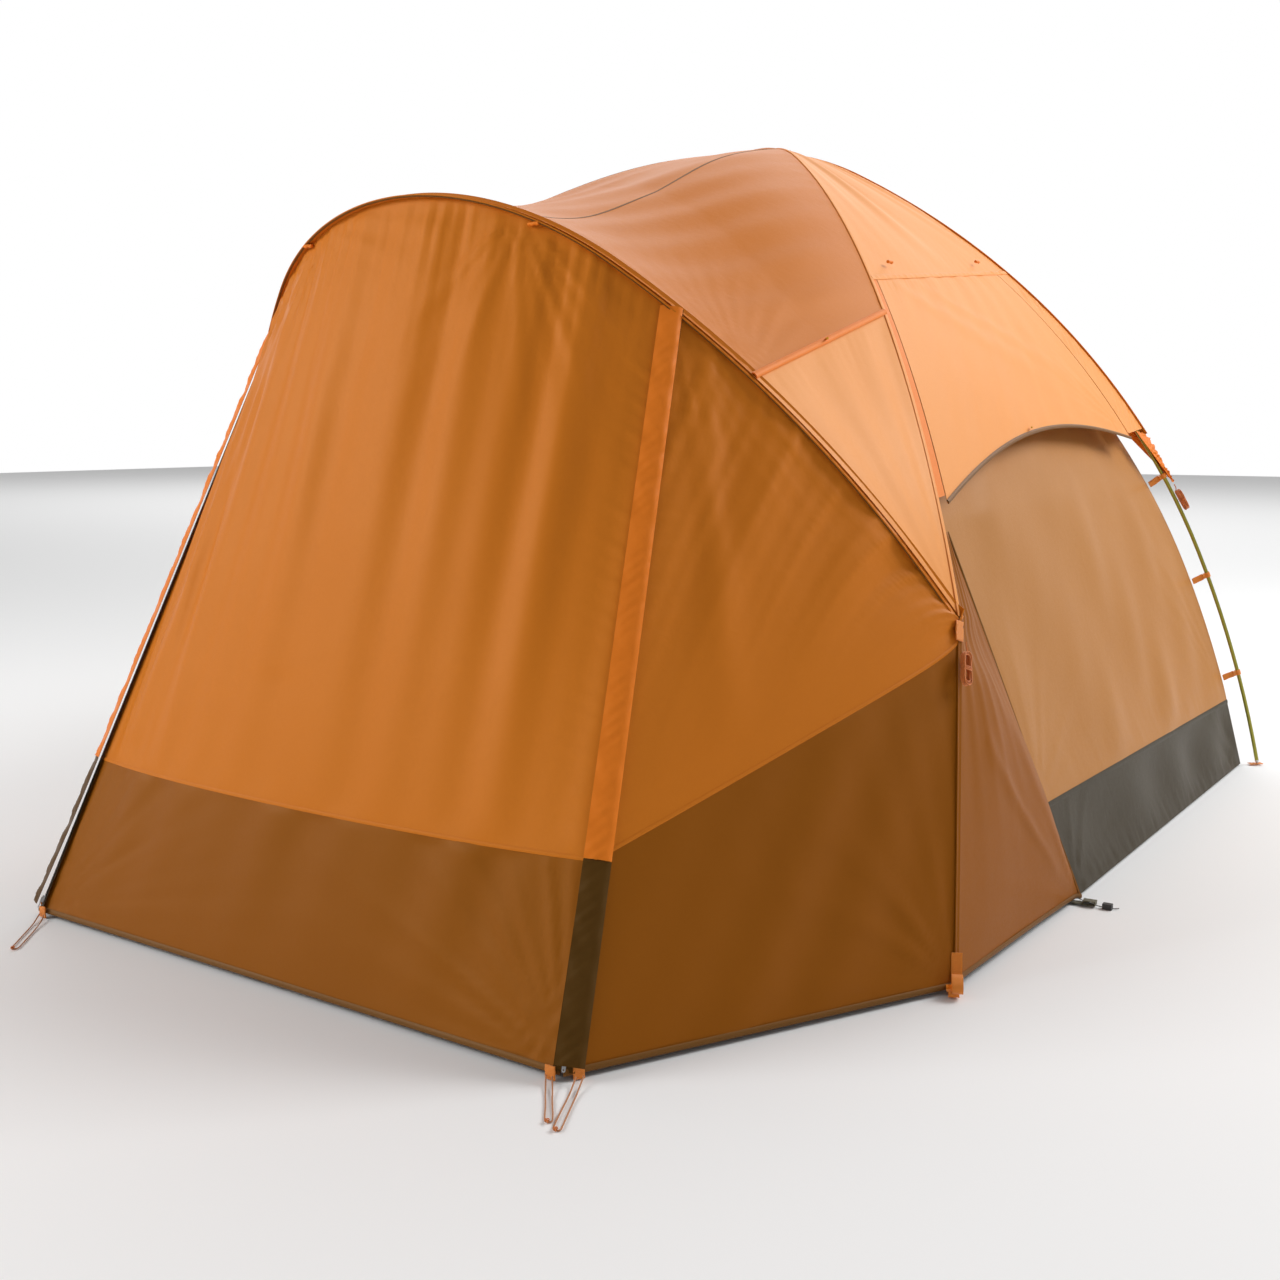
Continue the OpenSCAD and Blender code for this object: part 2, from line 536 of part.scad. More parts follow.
// ---- zips and storm flaps of the vestibule door ----
// Local frame on the right zip: X across towards the door's middle, Y outwards, Z up the zip
zip_dir = unit(zip_top - zip_foot);
zip_out = unit(cross(unit(zip_foot - mirrored(zip_foot)), zip_dir)
    + cross(unit(side_hem(0.2) - zip_foot), zip_dir));
zip_across = unit(cross(zip_out, zip_dir));
zip_z0 = 14;
zip_run = zip_len - zip_z0 - 44;
coil_w = 7;
coil_t = 3;
slider_h = 16;
slider_t = 5;
slider_off = 0.4;
module on_zip() axes(zip_foot, zip_across, zip_out, zip_dir) children();
module zip_coil() on_zip() translate([-coil_w / 2, -coil_t, zip_z0]) cube([coil_w, coil_t, zip_run]);
module zip_slider() on_zip() translate([0, slider_off, zip_z0 + 6]) difference() {
    translate([-5.5, 0, 0]) cube([11, slider_t, slider_h]);
    translate([-1.2, slider_t - 2.2, -1]) cube([2.4, 3, slider_h + 2]);
}
pull_len = 26;
module zip_pull() on_zip() translate([0, slider_off + slider_t + 0.3, zip_z0 + 6 + slider_h - 5])
    rotate([-90, 0, 0]) linear_extrude(1.6) difference() {
        union() {
            translate([-3.5, 0]) square([7, pull_len - 3.5]);
            translate([0, pull_len - 3.5]) circle(3.5);
        }
        translate([0, pull_len - 4.5]) circle(1.6);
    }
module zip_coil_right() color("dimgray") at_crown() zip_coil();
module zip_coil_left() color("dimgray") at_crown() left_side() zip_coil();
module zip_slider_right() color("silver") at_crown() zip_slider();
module zip_slider_left() color("silver") at_crown() left_side() zip_slider();
module zip_pull_right() color("silver") at_crown() zip_pull();
module zip_pull_left() color("silver") at_crown() left_side() zip_pull();
flap_out = slider_off + slider_t + 5;
module storm_flap() on_zip() translate([-flap_w * 0.62, flap_out, zip_z0 + 40])
    cube([flap_w, 2.5, zip_run - 70]);
module storm_flap_right() color(light_orange) at_crown() storm_flap();
module storm_flap_left() color(light_orange) at_crown() left_side() storm_flap();

// ---- inner tent ----
floor_x = 1200;
floor_front = -545;
floor_rear = 1165;
floor_t = 4;
tub_base = 5;
seam_split = 0.6;
rear_split = 0.88;
tub_t = 0.9;
hang_in = front_point(hem_front_s, -body_gap);
rear_low_s = length_at(main_half, tub_h + tub_rise);
body_crown_s = main_full - 90;
function body_front_seam(t) = t < seam_split
    ? front_point(mix(body_crown_s, hem_front_s, t / seam_split), -body_gap)
    : mix(hang_in, [floor_x, floor_front, tub_base], (t - seam_split) / (1 - seam_split));
function body_rear_seam(t) = t < rear_split
    ? rear_point(mix(body_crown_s, rear_low_s, t / rear_split), -body_gap)
    : mix(rear_point(rear_low_s, -body_gap), [floor_x, floor_rear, tub_base],
        (t - rear_split) / (1 - rear_split));
wall_inset = 6;
function seam_list(side, t0, t1, n) = [for (i = [0:n]) let (t = mix(t0, t1, i / n))
    side == "front_right" ? body_front_seam(t) : side == "front_left" ? mirrored(body_front_seam(t)) :
    side == "rear_right" ? body_rear_seam(t) : mirrored(body_rear_seam(t))];
module body_wall(from, to, t0, t1, n, m)
    sheet(ruled(seam_list(from, t0, t1, n), seam_list(to, t0, t1, n), m, wall_inset));
module floor_sheet() color(olive) at_crown() linear_extrude(floor_t) polygon(
    [for (x = [-1, 1]) each [[x * (floor_x - 8), x < 0 ? floor_rear - 8 : floor_front + 8],
        [x * (floor_x - 8), x < 0 ? floor_front + 8 : floor_rear - 8]]]);
module tub_side() body_wall("front_right", "rear_right", tub_t, 1, 3, 5);
module tub_wall() color(olive) at_crown() {
    tub_side();
    left_side() tub_side();
    body_wall("rear_right", "rear_left", tub_t, 1, 3, 5);
    body_wall("front_left", "front_right", tub_t, 1, 3, 5);
}
module body_side() body_wall("front_right", "rear_right", 0, tub_t - 0.003, rows, cols);
module body_side_right() color(tan_cloth) at_crown() body_side();
module body_side_left() color(tan_cloth) at_crown() left_side() body_side();
module body_rear() color(tan_cloth) at_crown()
    body_wall("rear_right", "rear_left", 0, tub_t - 0.003, rows, cols);
door_half = 350;
door_low_z = 262;
door_round_z = 980;
door_x0 = -door_half - 5;
module door_prism(grow) translate([0, -250, 0]) rotate([90, 0, 0]) linear_extrude(900) {
    translate([-door_half - grow, door_low_z - grow])
        square([2 * (door_half + grow), door_round_z - door_low_z + grow]);
    translate([0, door_round_z]) circle(door_half + grow, $fn = 96);
}
module front_wall_sheet() body_wall("front_left", "front_right", 0, tub_t - 0.003, rows, 4);
module body_front() color(tan_cloth) at_crown() difference() {
    front_wall_sheet();
    door_prism(0);
}
module inner_door() color(tan_cloth) at_crown() intersection() {
    front_wall_sheet();
    door_prism(-4);
}
inner_zip_z = 250;
function front_wall_y(z) =
    mix(hang_in, [floor_x, floor_front, tub_base], (hang_in.z - z) / (hang_in.z - tub_base)).y;
module inner_zip_coil() color("dimgray") at_crown()
    translate([-door_half, front_wall_y(inner_zip_z) - 7, inner_zip_z - 4]) cube([2 * door_half, 3, 8]);
module inner_zip_slider() color("silver") at_crown()
    translate([-door_half + 12, front_wall_y(inner_zip_z) - 12.5, inner_zip_z - 5]) cube([16, 5, 10]);

// ---- webbing, buckles and tabs at the feet ----
strap_t = 2;
strap_w = 22;
module foot_plate(reach, back) difference() {
    translate([-back, -strap_w / 2, plate_z]) cube([reach + back, strap_w, strap_t]);
    translate([0, 0, 3]) cylinder(r = tip_neck_r + 1.4, h = 4);
}
plate_z = 4;
plate_s = plate_z + strap_t / 2;
module on_ground(p, azimuth) translate([p.x, p.y, 0]) rotate([0, 0, azimuth]) children();
module at_front_foot() on_ground(front_point(plate_s), -plane_turn - leg_turn) children();
module at_rear_foot() on_ground(rear_point(plate_s), plane_turn) children();
module at_hoop_foot() on_ground(hoop_point(plate_s / cos(hoop_lean)), 4) children();
module both() {
    children();
    left_side() children();
}
// Plate under the pole tip with an open stake loop beyond it
loop_len = 30;
loop_h = 11;
module stake_loop(at) translate([at, -strap_w / 2, plate_z]) difference() {
    cube([loop_len, strap_w, loop_h]);
    translate([strap_t, -1, strap_t]) cube([loop_len - 2 * strap_t, strap_w + 2, loop_h - 2 * strap_t]);
}
front_loop_at = 30;
hoop_loop_at = 32;
module front_foot_straps() color(webbing_orange) at_crown() both() at_front_foot() {
    foot_plate(front_loop_at - 0.2, 14);
    stake_loop(front_loop_at);
}
module ladder_locks() color(webbing_orange) at_crown() both() at_front_foot()
    translate([front_loop_at + 3, -15, plate_z + loop_h + 0.4]) difference() {
        cube([26, 30, 5]);
        translate([5, 4, -1]) cube([5, 22, 7]);
        translate([15, 4, -1]) cube([5, 22, 7]);
    }
module rear_foot_straps() color(webbing_orange) at_crown() both() at_rear_foot() foot_plate(15, 30);
module hoop_foot_straps() color(olive) at_crown() both() at_hoop_foot() {
    foot_plate(hoop_loop_at - 0.2, 12);
    stake_loop(hoop_loop_at);
}
module cord_locks() color(black_plastic) at_crown() both() at_hoop_foot()
    translate([78, 0, 0.2]) difference() {
        translate([0, -8, 0]) cube([22, 16, 13]);
        translate([-1, 0, 6.5]) rotate([0, 90, 0]) cylinder(r = 2.2, h = 24);
    }
// Fly corners that run down the rear poles below the hem
corner_low_s = length_at(main_half, 945);
function corner_row(t) = let (mid_s = mix(hem_rear_s, corner_low_s, t), low = rear_fly(corner_low_s))
    [mix(side_fly(2, 0.955), low, t), rear_fly(mid_s), mix(rear_fly_point(1, 0.04), low, t)];
module fly_corner_tabs() color(webbing_orange) at_crown() both()
    sheet([for (i = [0:5]) corner_row(mix(0.03, 0.9, i / 5))], 3);
// Places on the fly seam over a leg: X out of the corner that the two panels make, Z up along the leg
corner_turn = 49;
module on_front_leg(s) half_plane(-plane_turn) knee_turn(main_half, -leg_turn) on_profile(main_half, s)
    translate([fly_gap, 0, 0]) rotate([0, 0, corner_turn]) children();
module on_rear_leg(s) half_plane(plane_turn) on_profile(main_half, s) children();
module guy_tabs() color(webbing_orange) at_crown() both()
    on_front_leg(leg_len - 24) translate([6.5, -12, -22]) cube([3, 24, 44]);
module toggle_bar(p, dir_angle, r, h)
    translate(p) rotate([90, 0, dir_angle]) cylinder(r = r, h = h, center = true);
module cover_toggles() color(light_orange) at_crown() both()
    for (u = [0.12, 0.78]) toggle_bar(side_fly(0.95, u) + [13, 0, 9], 0, 4, 26);
module door_toggles() color(light_orange) at_crown() both()
    toggle_bar(front_at(0.5, front_drop(0.5, 14)) + [0, -9, 2], 90, 4, 26);
module cover_hem_toggle() toggle_bar(cover_point(0.97, 0.45) + [10, 0, 3], 20, 2.5, 24);
module cover_hem_toggles_right() color("gold") at_crown() cover_hem_toggle();
module cover_hem_toggles_left() color("gold") at_crown() left_side() cover_hem_toggle();
module vent_toggles() color("gold") at_crown() both()
    toggle_bar(mix(roof_pole(1), roof_hoop(1), 0.5) + [9, -4, 6], 35, 2.5, 22);
module stake_tabs() color(webbing_orange) at_crown() both() {
    translate([hem_x - 34, -hem_y - 9, 2]) cube([22, 3, 26]);
    translate([hem_x + 14, -hem_y + 12, 2]) rotate([0, 0, 62]) cube([22, 3, 26]);
}

// ---- cords ----
cord_r = 1.5;
hank_w = 34;
hank_len = 105;
hank_t = 14;
module hank() linear_extrude(hank_t) {
    translate([-hank_w / 2, -hank_len + hank_w / 2]) square([hank_w, hank_len - hank_w]);
    translate([0, -hank_w / 2]) circle(hank_w / 2);
    translate([0, -hank_len + hank_w / 2]) circle(hank_w / 2);
}
module hung_hank(out) translate([out, 0, 0]) rotate([90, 0, 90]) hank();
module front_hank() on_front_leg(leg_len - 50) hung_hank(10);
module rear_hank() on_rear_leg(corner_low_s - 8) hung_hank(tube_r + 8);
module guy_hanks() color(webbing_orange) at_crown() both() {
    front_hank();
    rear_hank();
}
// A round cord swept along a list of points
function tangent(path, i) = unit(path[min(i + 1, len(path) - 1)] - path[max(i - 1, 0)]);
module swept(path, r, sides = 8) {
    n = len(path);
    points = [for (i = [0:n - 1])
        let (t = tangent(path, i), a = unit(cross(t, [0.31, 0.17, 0.93])), b = cross(t, a))
        for (k = [0:sides - 1]) path[i] + r * (cos(360 * k / sides) * a + sin(360 * k / sides) * b)];
    sides_list = [for (i = [0:n - 2], k = [0:sides - 1])
        let (p = i * sides + k, q = i * sides + (k + 1) % sides)
        each [[p, q + sides, q], [p, p + sides, q + sides]]];
    caps = [[for (k = [0:sides - 1]) k], [for (k = [sides - 1:-1:0]) (n - 1) * sides + k]];
    polyhedron(points, concat(sides_list, caps), convexity = 4);
}
module stake_cords() color(webbing_orange) {
    swept(stake_loop_front, cord_r);
    swept(stake_loop_side, cord_r);
    swept(stake_loop_left, cord_r);
}

main_pole_low();
main_pole_high();
hoop_pole();
pole_ferrules();
pole_tips();
shock_cords();
pole_clips();
clip_tabs();
crown_clip();
crossing_clips();
fly_crown_patch();
fly_roof_front();
fly_shoulder_right();
fly_shoulder_left();
fly_side_right();
fly_side_left();
side_cover_right();
side_cover_left();
fly_rear();
hoop_sleeve();
vestibule_side_right();
vestibule_side_left();
vestibule_band_right();
vestibule_band_left();
rear_gusset_right();
rear_gusset_left();
vestibule_door();
door_band();
storm_flap_right();
storm_flap_left();
zip_coil_right();
zip_coil_left();
zip_slider_right();
zip_slider_left();
zip_pull_right();
zip_pull_left();
floor_sheet();
tub_wall();
body_side_right();
body_side_left();
body_rear();
body_front();
inner_door();
inner_zip_coil();
inner_zip_slider();
front_foot_straps();
ladder_locks();
rear_foot_straps();
hoop_foot_straps();
cord_locks();
fly_corner_tabs();
guy_tabs();
cover_toggles();
door_toggles();
cover_hem_toggles_right();
cover_hem_toggles_left();
vent_toggles();
stake_tabs();
guy_hanks();
stake_cords();
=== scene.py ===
"""Looks of a dome tent with a hooped front vestibule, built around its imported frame.

Lengths are metres. The crown frame has its upright axis through the crossing of the two main poles;
row() moves points from it into the part's own frame. The front door faces -Y.
"""

import math

import bmesh
import bpy
import numpy as np
from mathutils import Matrix, Vector


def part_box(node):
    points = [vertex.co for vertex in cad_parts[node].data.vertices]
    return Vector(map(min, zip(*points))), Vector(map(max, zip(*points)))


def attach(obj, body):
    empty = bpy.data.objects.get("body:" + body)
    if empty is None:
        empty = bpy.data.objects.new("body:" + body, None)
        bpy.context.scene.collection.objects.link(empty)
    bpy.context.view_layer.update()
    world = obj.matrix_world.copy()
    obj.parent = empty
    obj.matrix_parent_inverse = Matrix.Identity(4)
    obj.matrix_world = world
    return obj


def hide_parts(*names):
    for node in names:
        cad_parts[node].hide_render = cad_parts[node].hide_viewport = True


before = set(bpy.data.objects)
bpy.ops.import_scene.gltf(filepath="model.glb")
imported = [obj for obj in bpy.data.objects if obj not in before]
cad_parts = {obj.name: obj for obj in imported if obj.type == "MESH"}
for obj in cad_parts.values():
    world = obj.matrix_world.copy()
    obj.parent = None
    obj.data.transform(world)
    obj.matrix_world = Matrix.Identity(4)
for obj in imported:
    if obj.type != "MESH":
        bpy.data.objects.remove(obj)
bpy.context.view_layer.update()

crown_low, crown_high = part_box("crown_clip")
CROWN = np.array([0.0, (crown_low.y + crown_high.y) / 2, 0.0])


def row(points):
    """Crown-frame points in the part's frame."""
    return np.asarray(points, float) + CROWN


def unit(v):
    v = np.asarray(v, float)
    return v / np.maximum(np.linalg.norm(v, axis=-1, keepdims=True), 1e-12)


def mix(a, b, t):
    return a + (b - a) * t


# ---- camera ----
def add_camera():
    azimuth, elevation, roll = (math.radians(a) for a in (34.651, 8.456, 0.076))
    data = bpy.data.cameras.new("camera")
    data.sensor_width = 36.0
    data.lens = 41.006
    camera = bpy.data.objects.new("camera", data)
    bpy.context.scene.collection.objects.link(camera)
    back = Vector((math.sin(azimuth) * math.cos(elevation),
                   -math.cos(azimuth) * math.cos(elevation), math.sin(elevation)))
    turn = (-back).to_track_quat("-Z", "Y") @ Matrix.Rotation(-roll, 3, "Z").to_quaternion()
    camera.rotation_mode = "QUATERNION"
    camera.rotation_quaternion = turn
    camera.location = row((2.2707, -3.9633, 1.1480))
    bpy.context.scene.camera = camera


add_camera()

# ---- the three arches ----
FLY_GAP = 0.022
BODY_GAP = 0.060
LEG_TURN = math.radians(20.5)
HOOP_Y = 0.580
HOOP_LEAN = math.radians(31.25)
HEM = np.array([0.779, -2.045, 0.012])
BAND_Z = 0.357
BAND_REAR_Z = 0.700
CLOTH = 0.0012
SIDES = ((False, "right"), (True, "left"))


def arch(span, height, lean, bend_1, bend_2, middle_r):
    """Half of a pole arch: three tangent arcs from the foot to the top."""
    a = np.radians([lean, lean + bend_1, lean + bend_1 + bend_2, 90.0])
    run_x = np.cos(a[:-1]) - np.cos(a[1:])
    run_z = np.sin(a[1:]) - np.sin(a[:-1])
    ends = np.linalg.solve([[run_x[0], run_x[2]], [run_z[0], run_z[2]]],
                           [span - middle_r * run_x[1], height - middle_r * run_z[1]])
    r = np.array([ends[0], middle_r, ends[1]])
    first = np.array([span - r[0] * math.cos(a[0]), -r[0] * math.sin(a[0])])
    knee = first + r[0] * np.array([math.cos(a[1]), math.sin(a[1])])
    second = knee - r[1] * np.array([math.cos(a[1]), math.sin(a[1])])
    centres = np.array([first, second, [0.0, height - r[2]]])
    lengths = r * (a[1:] - a[:-1])
    starts = np.array([0.0, lengths[0], lengths[0] + lengths[1]])
    return {"a": a, "r": r, "c": centres, "starts": starts, "full": lengths.sum(), "leg": lengths[0]}


def arch_point(h, s, off=0.0):
    """Distance out and height at the length s from the foot, off metres outside the centre line."""
    s = np.asarray(s, float)
    i = np.searchsorted(h["starts"][1:], s, side="right")
    t = h["a"][i] + (s - h["starts"][i]) / h["r"][i]
    return h["c"][i, 0] + (h["r"][i] + off) * np.cos(t), h["c"][i, 1] + (h["r"][i] + off) * np.sin(t)


def length_at(h, z):
    """Length from the foot at which an arch reaches a height."""
    s = np.linspace(0, h["full"], 4001)
    return float(np.interp(z, arch_point(h, s)[1], s))


FOOT = np.array([1.248, 1.198])
CROWN_Z = 1.930
HOOP_FOOT_X = 1.196
MAIN = arch(float(np.linalg.norm(FOOT)), CROWN_Z, 13.6, 12, 41.2, 2.370)
HOOP = arch(HOOP_FOOT_X, 1.619 / math.cos(HOOP_LEAN), 0.8, 22.4, 24.8, 2.030)
PLANE = math.atan2(FOOT[1], FOOT[0])
KNEE_Z = float(arch_point(MAIN, MAIN["leg"])[1])


def rear_point(s, off=0.0):
    x, z = arch_point(MAIN, s, off)
    return np.stack([x * math.cos(PLANE), x * math.sin(PLANE), z], -1)


def front_point(s, off=0.0):
    """Front legs turn towards the vestibule below the knee."""
    x, z = arch_point(MAIN, s, off)
    knee = arch_point(MAIN, MAIN["leg"], off)[0]
    below = np.asarray(s) < MAIN["leg"]
    inner = np.where(below, knee, x)
    beyond = np.where(below, x - knee, 0.0)
    low = PLANE + LEG_TURN
    return np.stack([inner * math.cos(PLANE) + beyond * math.cos(low),
                     -inner * math.sin(PLANE) - beyond * math.sin(low), z], -1)


def hoop_point(s, off=0.0):
    x, z = arch_point(HOOP, s, off)
    return np.stack([x, -HOOP_Y - z * math.sin(HOOP_LEAN), z * math.cos(HOOP_LEAN)], -1)


KNEE_HOOP = length_at(HOOP, KNEE_Z / math.cos(HOOP_LEAN))
ZIP_HOOP = length_at(HOOP, 1.372 / math.cos(HOOP_LEAN))
VENT_HOOP = length_at(HOOP, 1.234 / math.cos(HOOP_LEAN))
VENT = length_at(MAIN, 1.395)
SEAM_FRONT = length_at(MAIN, 1.484)
SEAM_REAR = length_at(MAIN, 1.594)
HEM_FRONT = length_at(MAIN, 0.954)
HEM_REAR = length_at(MAIN, 1.099)
CORNER_LOW = length_at(MAIN, 0.945)
CROWN_S = MAIN["full"] - 0.030
LEG_FOOT = 0.018


def hoop_fly(s):
    near = np.maximum(0, (HOOP["full"] - s) / (HOOP["full"] - KNEE_HOOP)) ** 6
    return hoop_point(s, FLY_GAP - 0.004 + 0.016 * near)


def front_fly(s):
    return front_point(s, FLY_GAP)


def rear_fly(s):
    return rear_point(s, FLY_GAP)


def mirrored(points):
    return np.asarray(points) * np.array([-1.0, 1.0, 1.0])


def sided(function, a):
    """function(|a|) on the right for a > 0 and mirrored to the left for a < 0."""
    p = function(np.abs(a))
    return np.where((a < 0)[..., None], mirrored(p), p)


# ---- waves and folds in cloth ----
def ripple(x, spacing, seed):
    """A smooth irregular wave of about unit height, with crests about spacing apart."""
    draw = np.random.default_rng(seed)
    total = 0.0
    for weight in (1.0, 0.8, 0.65, 0.45, 0.3):
        pace = draw.uniform(0.55, 1.75)
        total = total + weight * np.sin(2 * math.pi * pace * x / spacing + draw.uniform(0, 2 * math.pi))
    return total / 1.6


def pulled(wave):
    """Sharp crests and wide hollows, as in cloth pulled along its folds."""
    return 1.0 - 2.0 * np.sqrt(np.clip(0.5 - 0.5 * np.clip(wave, -1, 1), 0, 1))


def fan(x, y, at, spacing, reach, seed, start=0.02):
    """Folds that spread from a point where the cloth is held; spacing is in radians."""
    dx, dy = x - at[0], y - at[1]
    far = np.hypot(dx, dy)
    fade = np.exp(-far / reach) * (1 - np.exp(-far / start))
    return pulled(ripple(np.arctan2(dy, dx), spacing, seed)) * fade


def gathers(along, away, spacing, reach, seed, skew=0.15):
    """Short folds that run in from a sewn edge."""
    return pulled(ripple(along + skew * away, spacing, seed)) * np.exp(-np.abs(away) / reach)


def crease(x, y, a, b, width):
    """One long soft ridge from a to b."""
    d = np.array(b, float) - np.array(a, float)
    t = ((x - a[0]) * d[0] + (y - a[1]) * d[1]) / (d @ d)
    off = ((x - a[0]) * d[1] - (y - a[1]) * d[0]) / np.linalg.norm(d)
    wide = width * (0.35 + 0.65 * np.clip(t, 0, 1))
    return np.exp(-(off / wide) ** 2) * np.clip(np.sin(math.pi * np.clip(t, 0, 1)), 0, 1) ** 0.5


# ---- pieces ----
def link(name, mesh):
    obj = bpy.data.objects.new(name, mesh)
    bpy.context.scene.collection.objects.link(obj)
    return obj


def smooth(mesh, angle=45):
    mesh.polygons.foreach_set("use_smooth", [True] * len(mesh.polygons))
    mesh.set_sharp_from_angle(angle=math.radians(angle))


def from_bmesh(name, bm, material, angle=45):
    bmesh.ops.recalc_face_normals(bm, faces=bm.faces)
    mesh = bpy.data.meshes.new(name)
    bm.to_mesh(mesh)
    bm.free()
    mesh.materials.append(material)
    smooth(mesh, angle)
    return link(name, mesh)


def surface_normals(p):
    down = np.gradient(p, axis=0)
    across = np.gradient(p, axis=1)
    return unit(np.cross(down, across))


def span_lengths(p):
    width = np.linalg.norm(np.diff(p, axis=1), axis=-1).sum(1).max()
    height = np.linalg.norm(np.diff(p, axis=0), axis=-1).sum(0).max()
    return float(width), float(height)


def grid_mesh(name, points, material, lengths):
    """A quad grid over points[row down][column right], with a map in metres of the flat cut."""
    rows, cols = points.shape[:2]
    bm = bmesh.new()
    bmesh.ops.create_grid(bm, x_segments=cols - 1, y_segments=rows - 1, size=1.0)
    mesh = bpy.data.meshes.new(name)
    bm.to_mesh(mesh)
    bm.free()
    co = np.empty(len(mesh.vertices) * 3)
    mesh.vertices.foreach_get("co", co)
    co = co.reshape(-1, 3)
    column = np.rint((co[:, 0] + 1) / 2 * (cols - 1)).astype(int)
    down = np.rint((1 - co[:, 1]) / 2 * (rows - 1)).astype(int)
    mesh.vertices.foreach_set("co", points[down, column].ravel())
    corner = np.empty(len(mesh.loops), int)
    mesh.loops.foreach_get("vertex_index", corner)
    flat = np.stack([column / (cols - 1) * lengths[0], -down / (rows - 1) * lengths[1]], -1)
    mesh.uv_layers.new(name="Cut").data.foreach_set("uv", flat[corner].ravel())
    mesh.materials.append(material)
    mesh.update()
    return mesh


def thicken(obj, thick):
    """Gives a drawn surface its thickness, inwards."""
    solid = obj.modifiers.new("thickness", "SOLIDIFY")
    solid.thickness = thick
    solid.offset = -1.0
    apply_modifiers(obj)
    smooth(obj.data, 60)


def assign(obj, slot, body, node=None):
    """Attaches the piece to the body that carries it and hides the CAD node it stands for; slot is not
    used.
    """
    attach(obj, body)
    if node:
        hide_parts(node)
    return obj


def panel(name, shape, material, slot, body, node, folds=None, step=0.016,
          declare=True, mirror=False):
    """A cut of cloth over shape(u, v), u across to the right and v down, both 0 to 1.

    folds(x, y, u, v) gives how far the cloth stands out, with x and y in metres on the flat cut."""
    guess = shape(*np.meshgrid(np.linspace(0, 1, 9), np.linspace(0, 1, 9)))
    width, height = span_lengths(guess)
    cols = max(3, int(width / step) + 1)
    rows = max(3, int(height / step) + 1)
    u, v = np.meshgrid(np.linspace(0, 1, cols), np.linspace(0, 1, rows))
    p = shape(u, v)
    normal = surface_normals(p)
    rise = np.zeros_like(u)
    if folds is not None:
        rise = rise + folds(u * width, v * height, u, v)
    p = p + normal * rise[..., None]
    flat_area = grid_area(shape(u, v))
    if mirror:
        p = mirrored(p)[:, ::-1]
    mesh = grid_mesh(name, row(p), material, (width, height))
    obj = link(name, mesh)
    thicken(obj, CLOTH)
    assign(obj, slot, body, node)
    if declare:
        width = min(width, flat_area / (LEAST_FILL * height))
    return obj


# a pointed cut narrows its declared width, so that its area fills this share of the rectangle
LEAST_FILL = 0.35


def grid_area(p):
    a = p[1:, :-1] - p[:-1, :-1]
    b = p[:-1, 1:] - p[:-1, :-1]
    c = p[1:, 1:] - p[1:, :-1]
    d = p[1:, 1:] - p[:-1, 1:]
    first = np.linalg.norm(np.cross(a, b), axis=-1)
    second = np.linalg.norm(np.cross(c, d), axis=-1)
    return float((first + second).sum() / 2)


def apply_modifiers(obj):
    bpy.context.view_layer.update()
    depsgraph = bpy.context.evaluated_depsgraph_get()
    mesh = bpy.data.meshes.new_from_object(obj.evaluated_get(depsgraph), depsgraph=depsgraph)
    old = obj.data
    obj.modifiers.clear()
    obj.data = mesh
    bpy.data.meshes.remove(old)
    mesh.name = obj.name


def ribbon(name, line, across, material, slot, body, width=0.012, thick=0.0024, crown=0.0, seg=6,
           out=0.0, wave=None, node=None):
    """A sewn strip laid along a line, crowned across its width; across is its direction at each point."""
    line = np.asarray(line, float)
    tangent = unit(np.gradient(line, axis=0))
    across = np.asarray(across, float)
    side = unit(across - tangent * (across * tangent).sum(-1, keepdims=True))
    up = unit(np.cross(side, tangent))
    w = np.linspace(-1, 1, seg + 1)
    arc = crown * (1 - w ** 2)
    rise = np.broadcast_to(arc[None, :] + out, (len(line), seg + 1)).copy()
    if wave is not None:
        run = np.concatenate([[0], np.cumsum(np.linalg.norm(np.diff(line, axis=0), axis=1))])
        rise = rise + wave(run[:, None], w[None, :])
    p = line[:, None, :] + side[:, None, :] * (w * width / 2)[None, :, None]
    p = p + up[:, None, :] * rise[..., None]
    length = path_length(line)
    mesh = grid_mesh(name, row(p[:, ::-1]), material, (width, length))
    obj = link(name, mesh)
    thicken(obj, thick)
    return assign(obj, slot, body, node)


def path_length(path):
    return float(np.linalg.norm(np.diff(np.asarray(path), axis=0), axis=1).sum())


def tube(name, path, radius, material, slot, body, sides=10, in_row=False, node=None):
    """A round cord or rod swept along a list of points."""
    path = np.asarray(path, float) if in_row else row(path)
    tangent = unit(np.gradient(path, axis=0))
    bm = bmesh.new()
    ring = bmesh.ops.create_circle(bm, segments=sides, radius=radius, cap_ends=False)["verts"]
    rings = []
    side = unit(np.cross(tangent[0], [0.31, 0.17, 0.93]))
    for centre, t in zip(path, tangent):
        side = unit(side - t * (side @ t))
        up = np.cross(t, side)
        angles = [2 * math.pi * k / sides for k in range(sides)]
        places = [centre + radius * (math.cos(a) * side + math.sin(a) * up) for a in angles]
        if not rings:
            for vert, place in zip(ring, places):
                vert.co = place
            rings.append(ring)
            continue
        edges = [bm.edges.get((rings[-1][k], rings[-1][(k + 1) % sides])) for k in range(sides)]
        made = bmesh.ops.extrude_edge_only(bm, edges=edges)["geom"]
        fresh = [g for g in made if isinstance(g, bmesh.types.BMVert)]
        ordered = []
        for old in rings[-1]:
            ordered.append(next(e.other_vert(old) for e in old.link_edges if e.other_vert(old) in fresh))
        for vert, place in zip(ordered, places):
            vert.co = place
        rings.append(ordered)
    for loop in (rings[0], rings[-1]):
        bmesh.ops.contextual_create(bm, geom=loop)
    return assign(from_bmesh(name, bm, material, 70), slot, body, node)


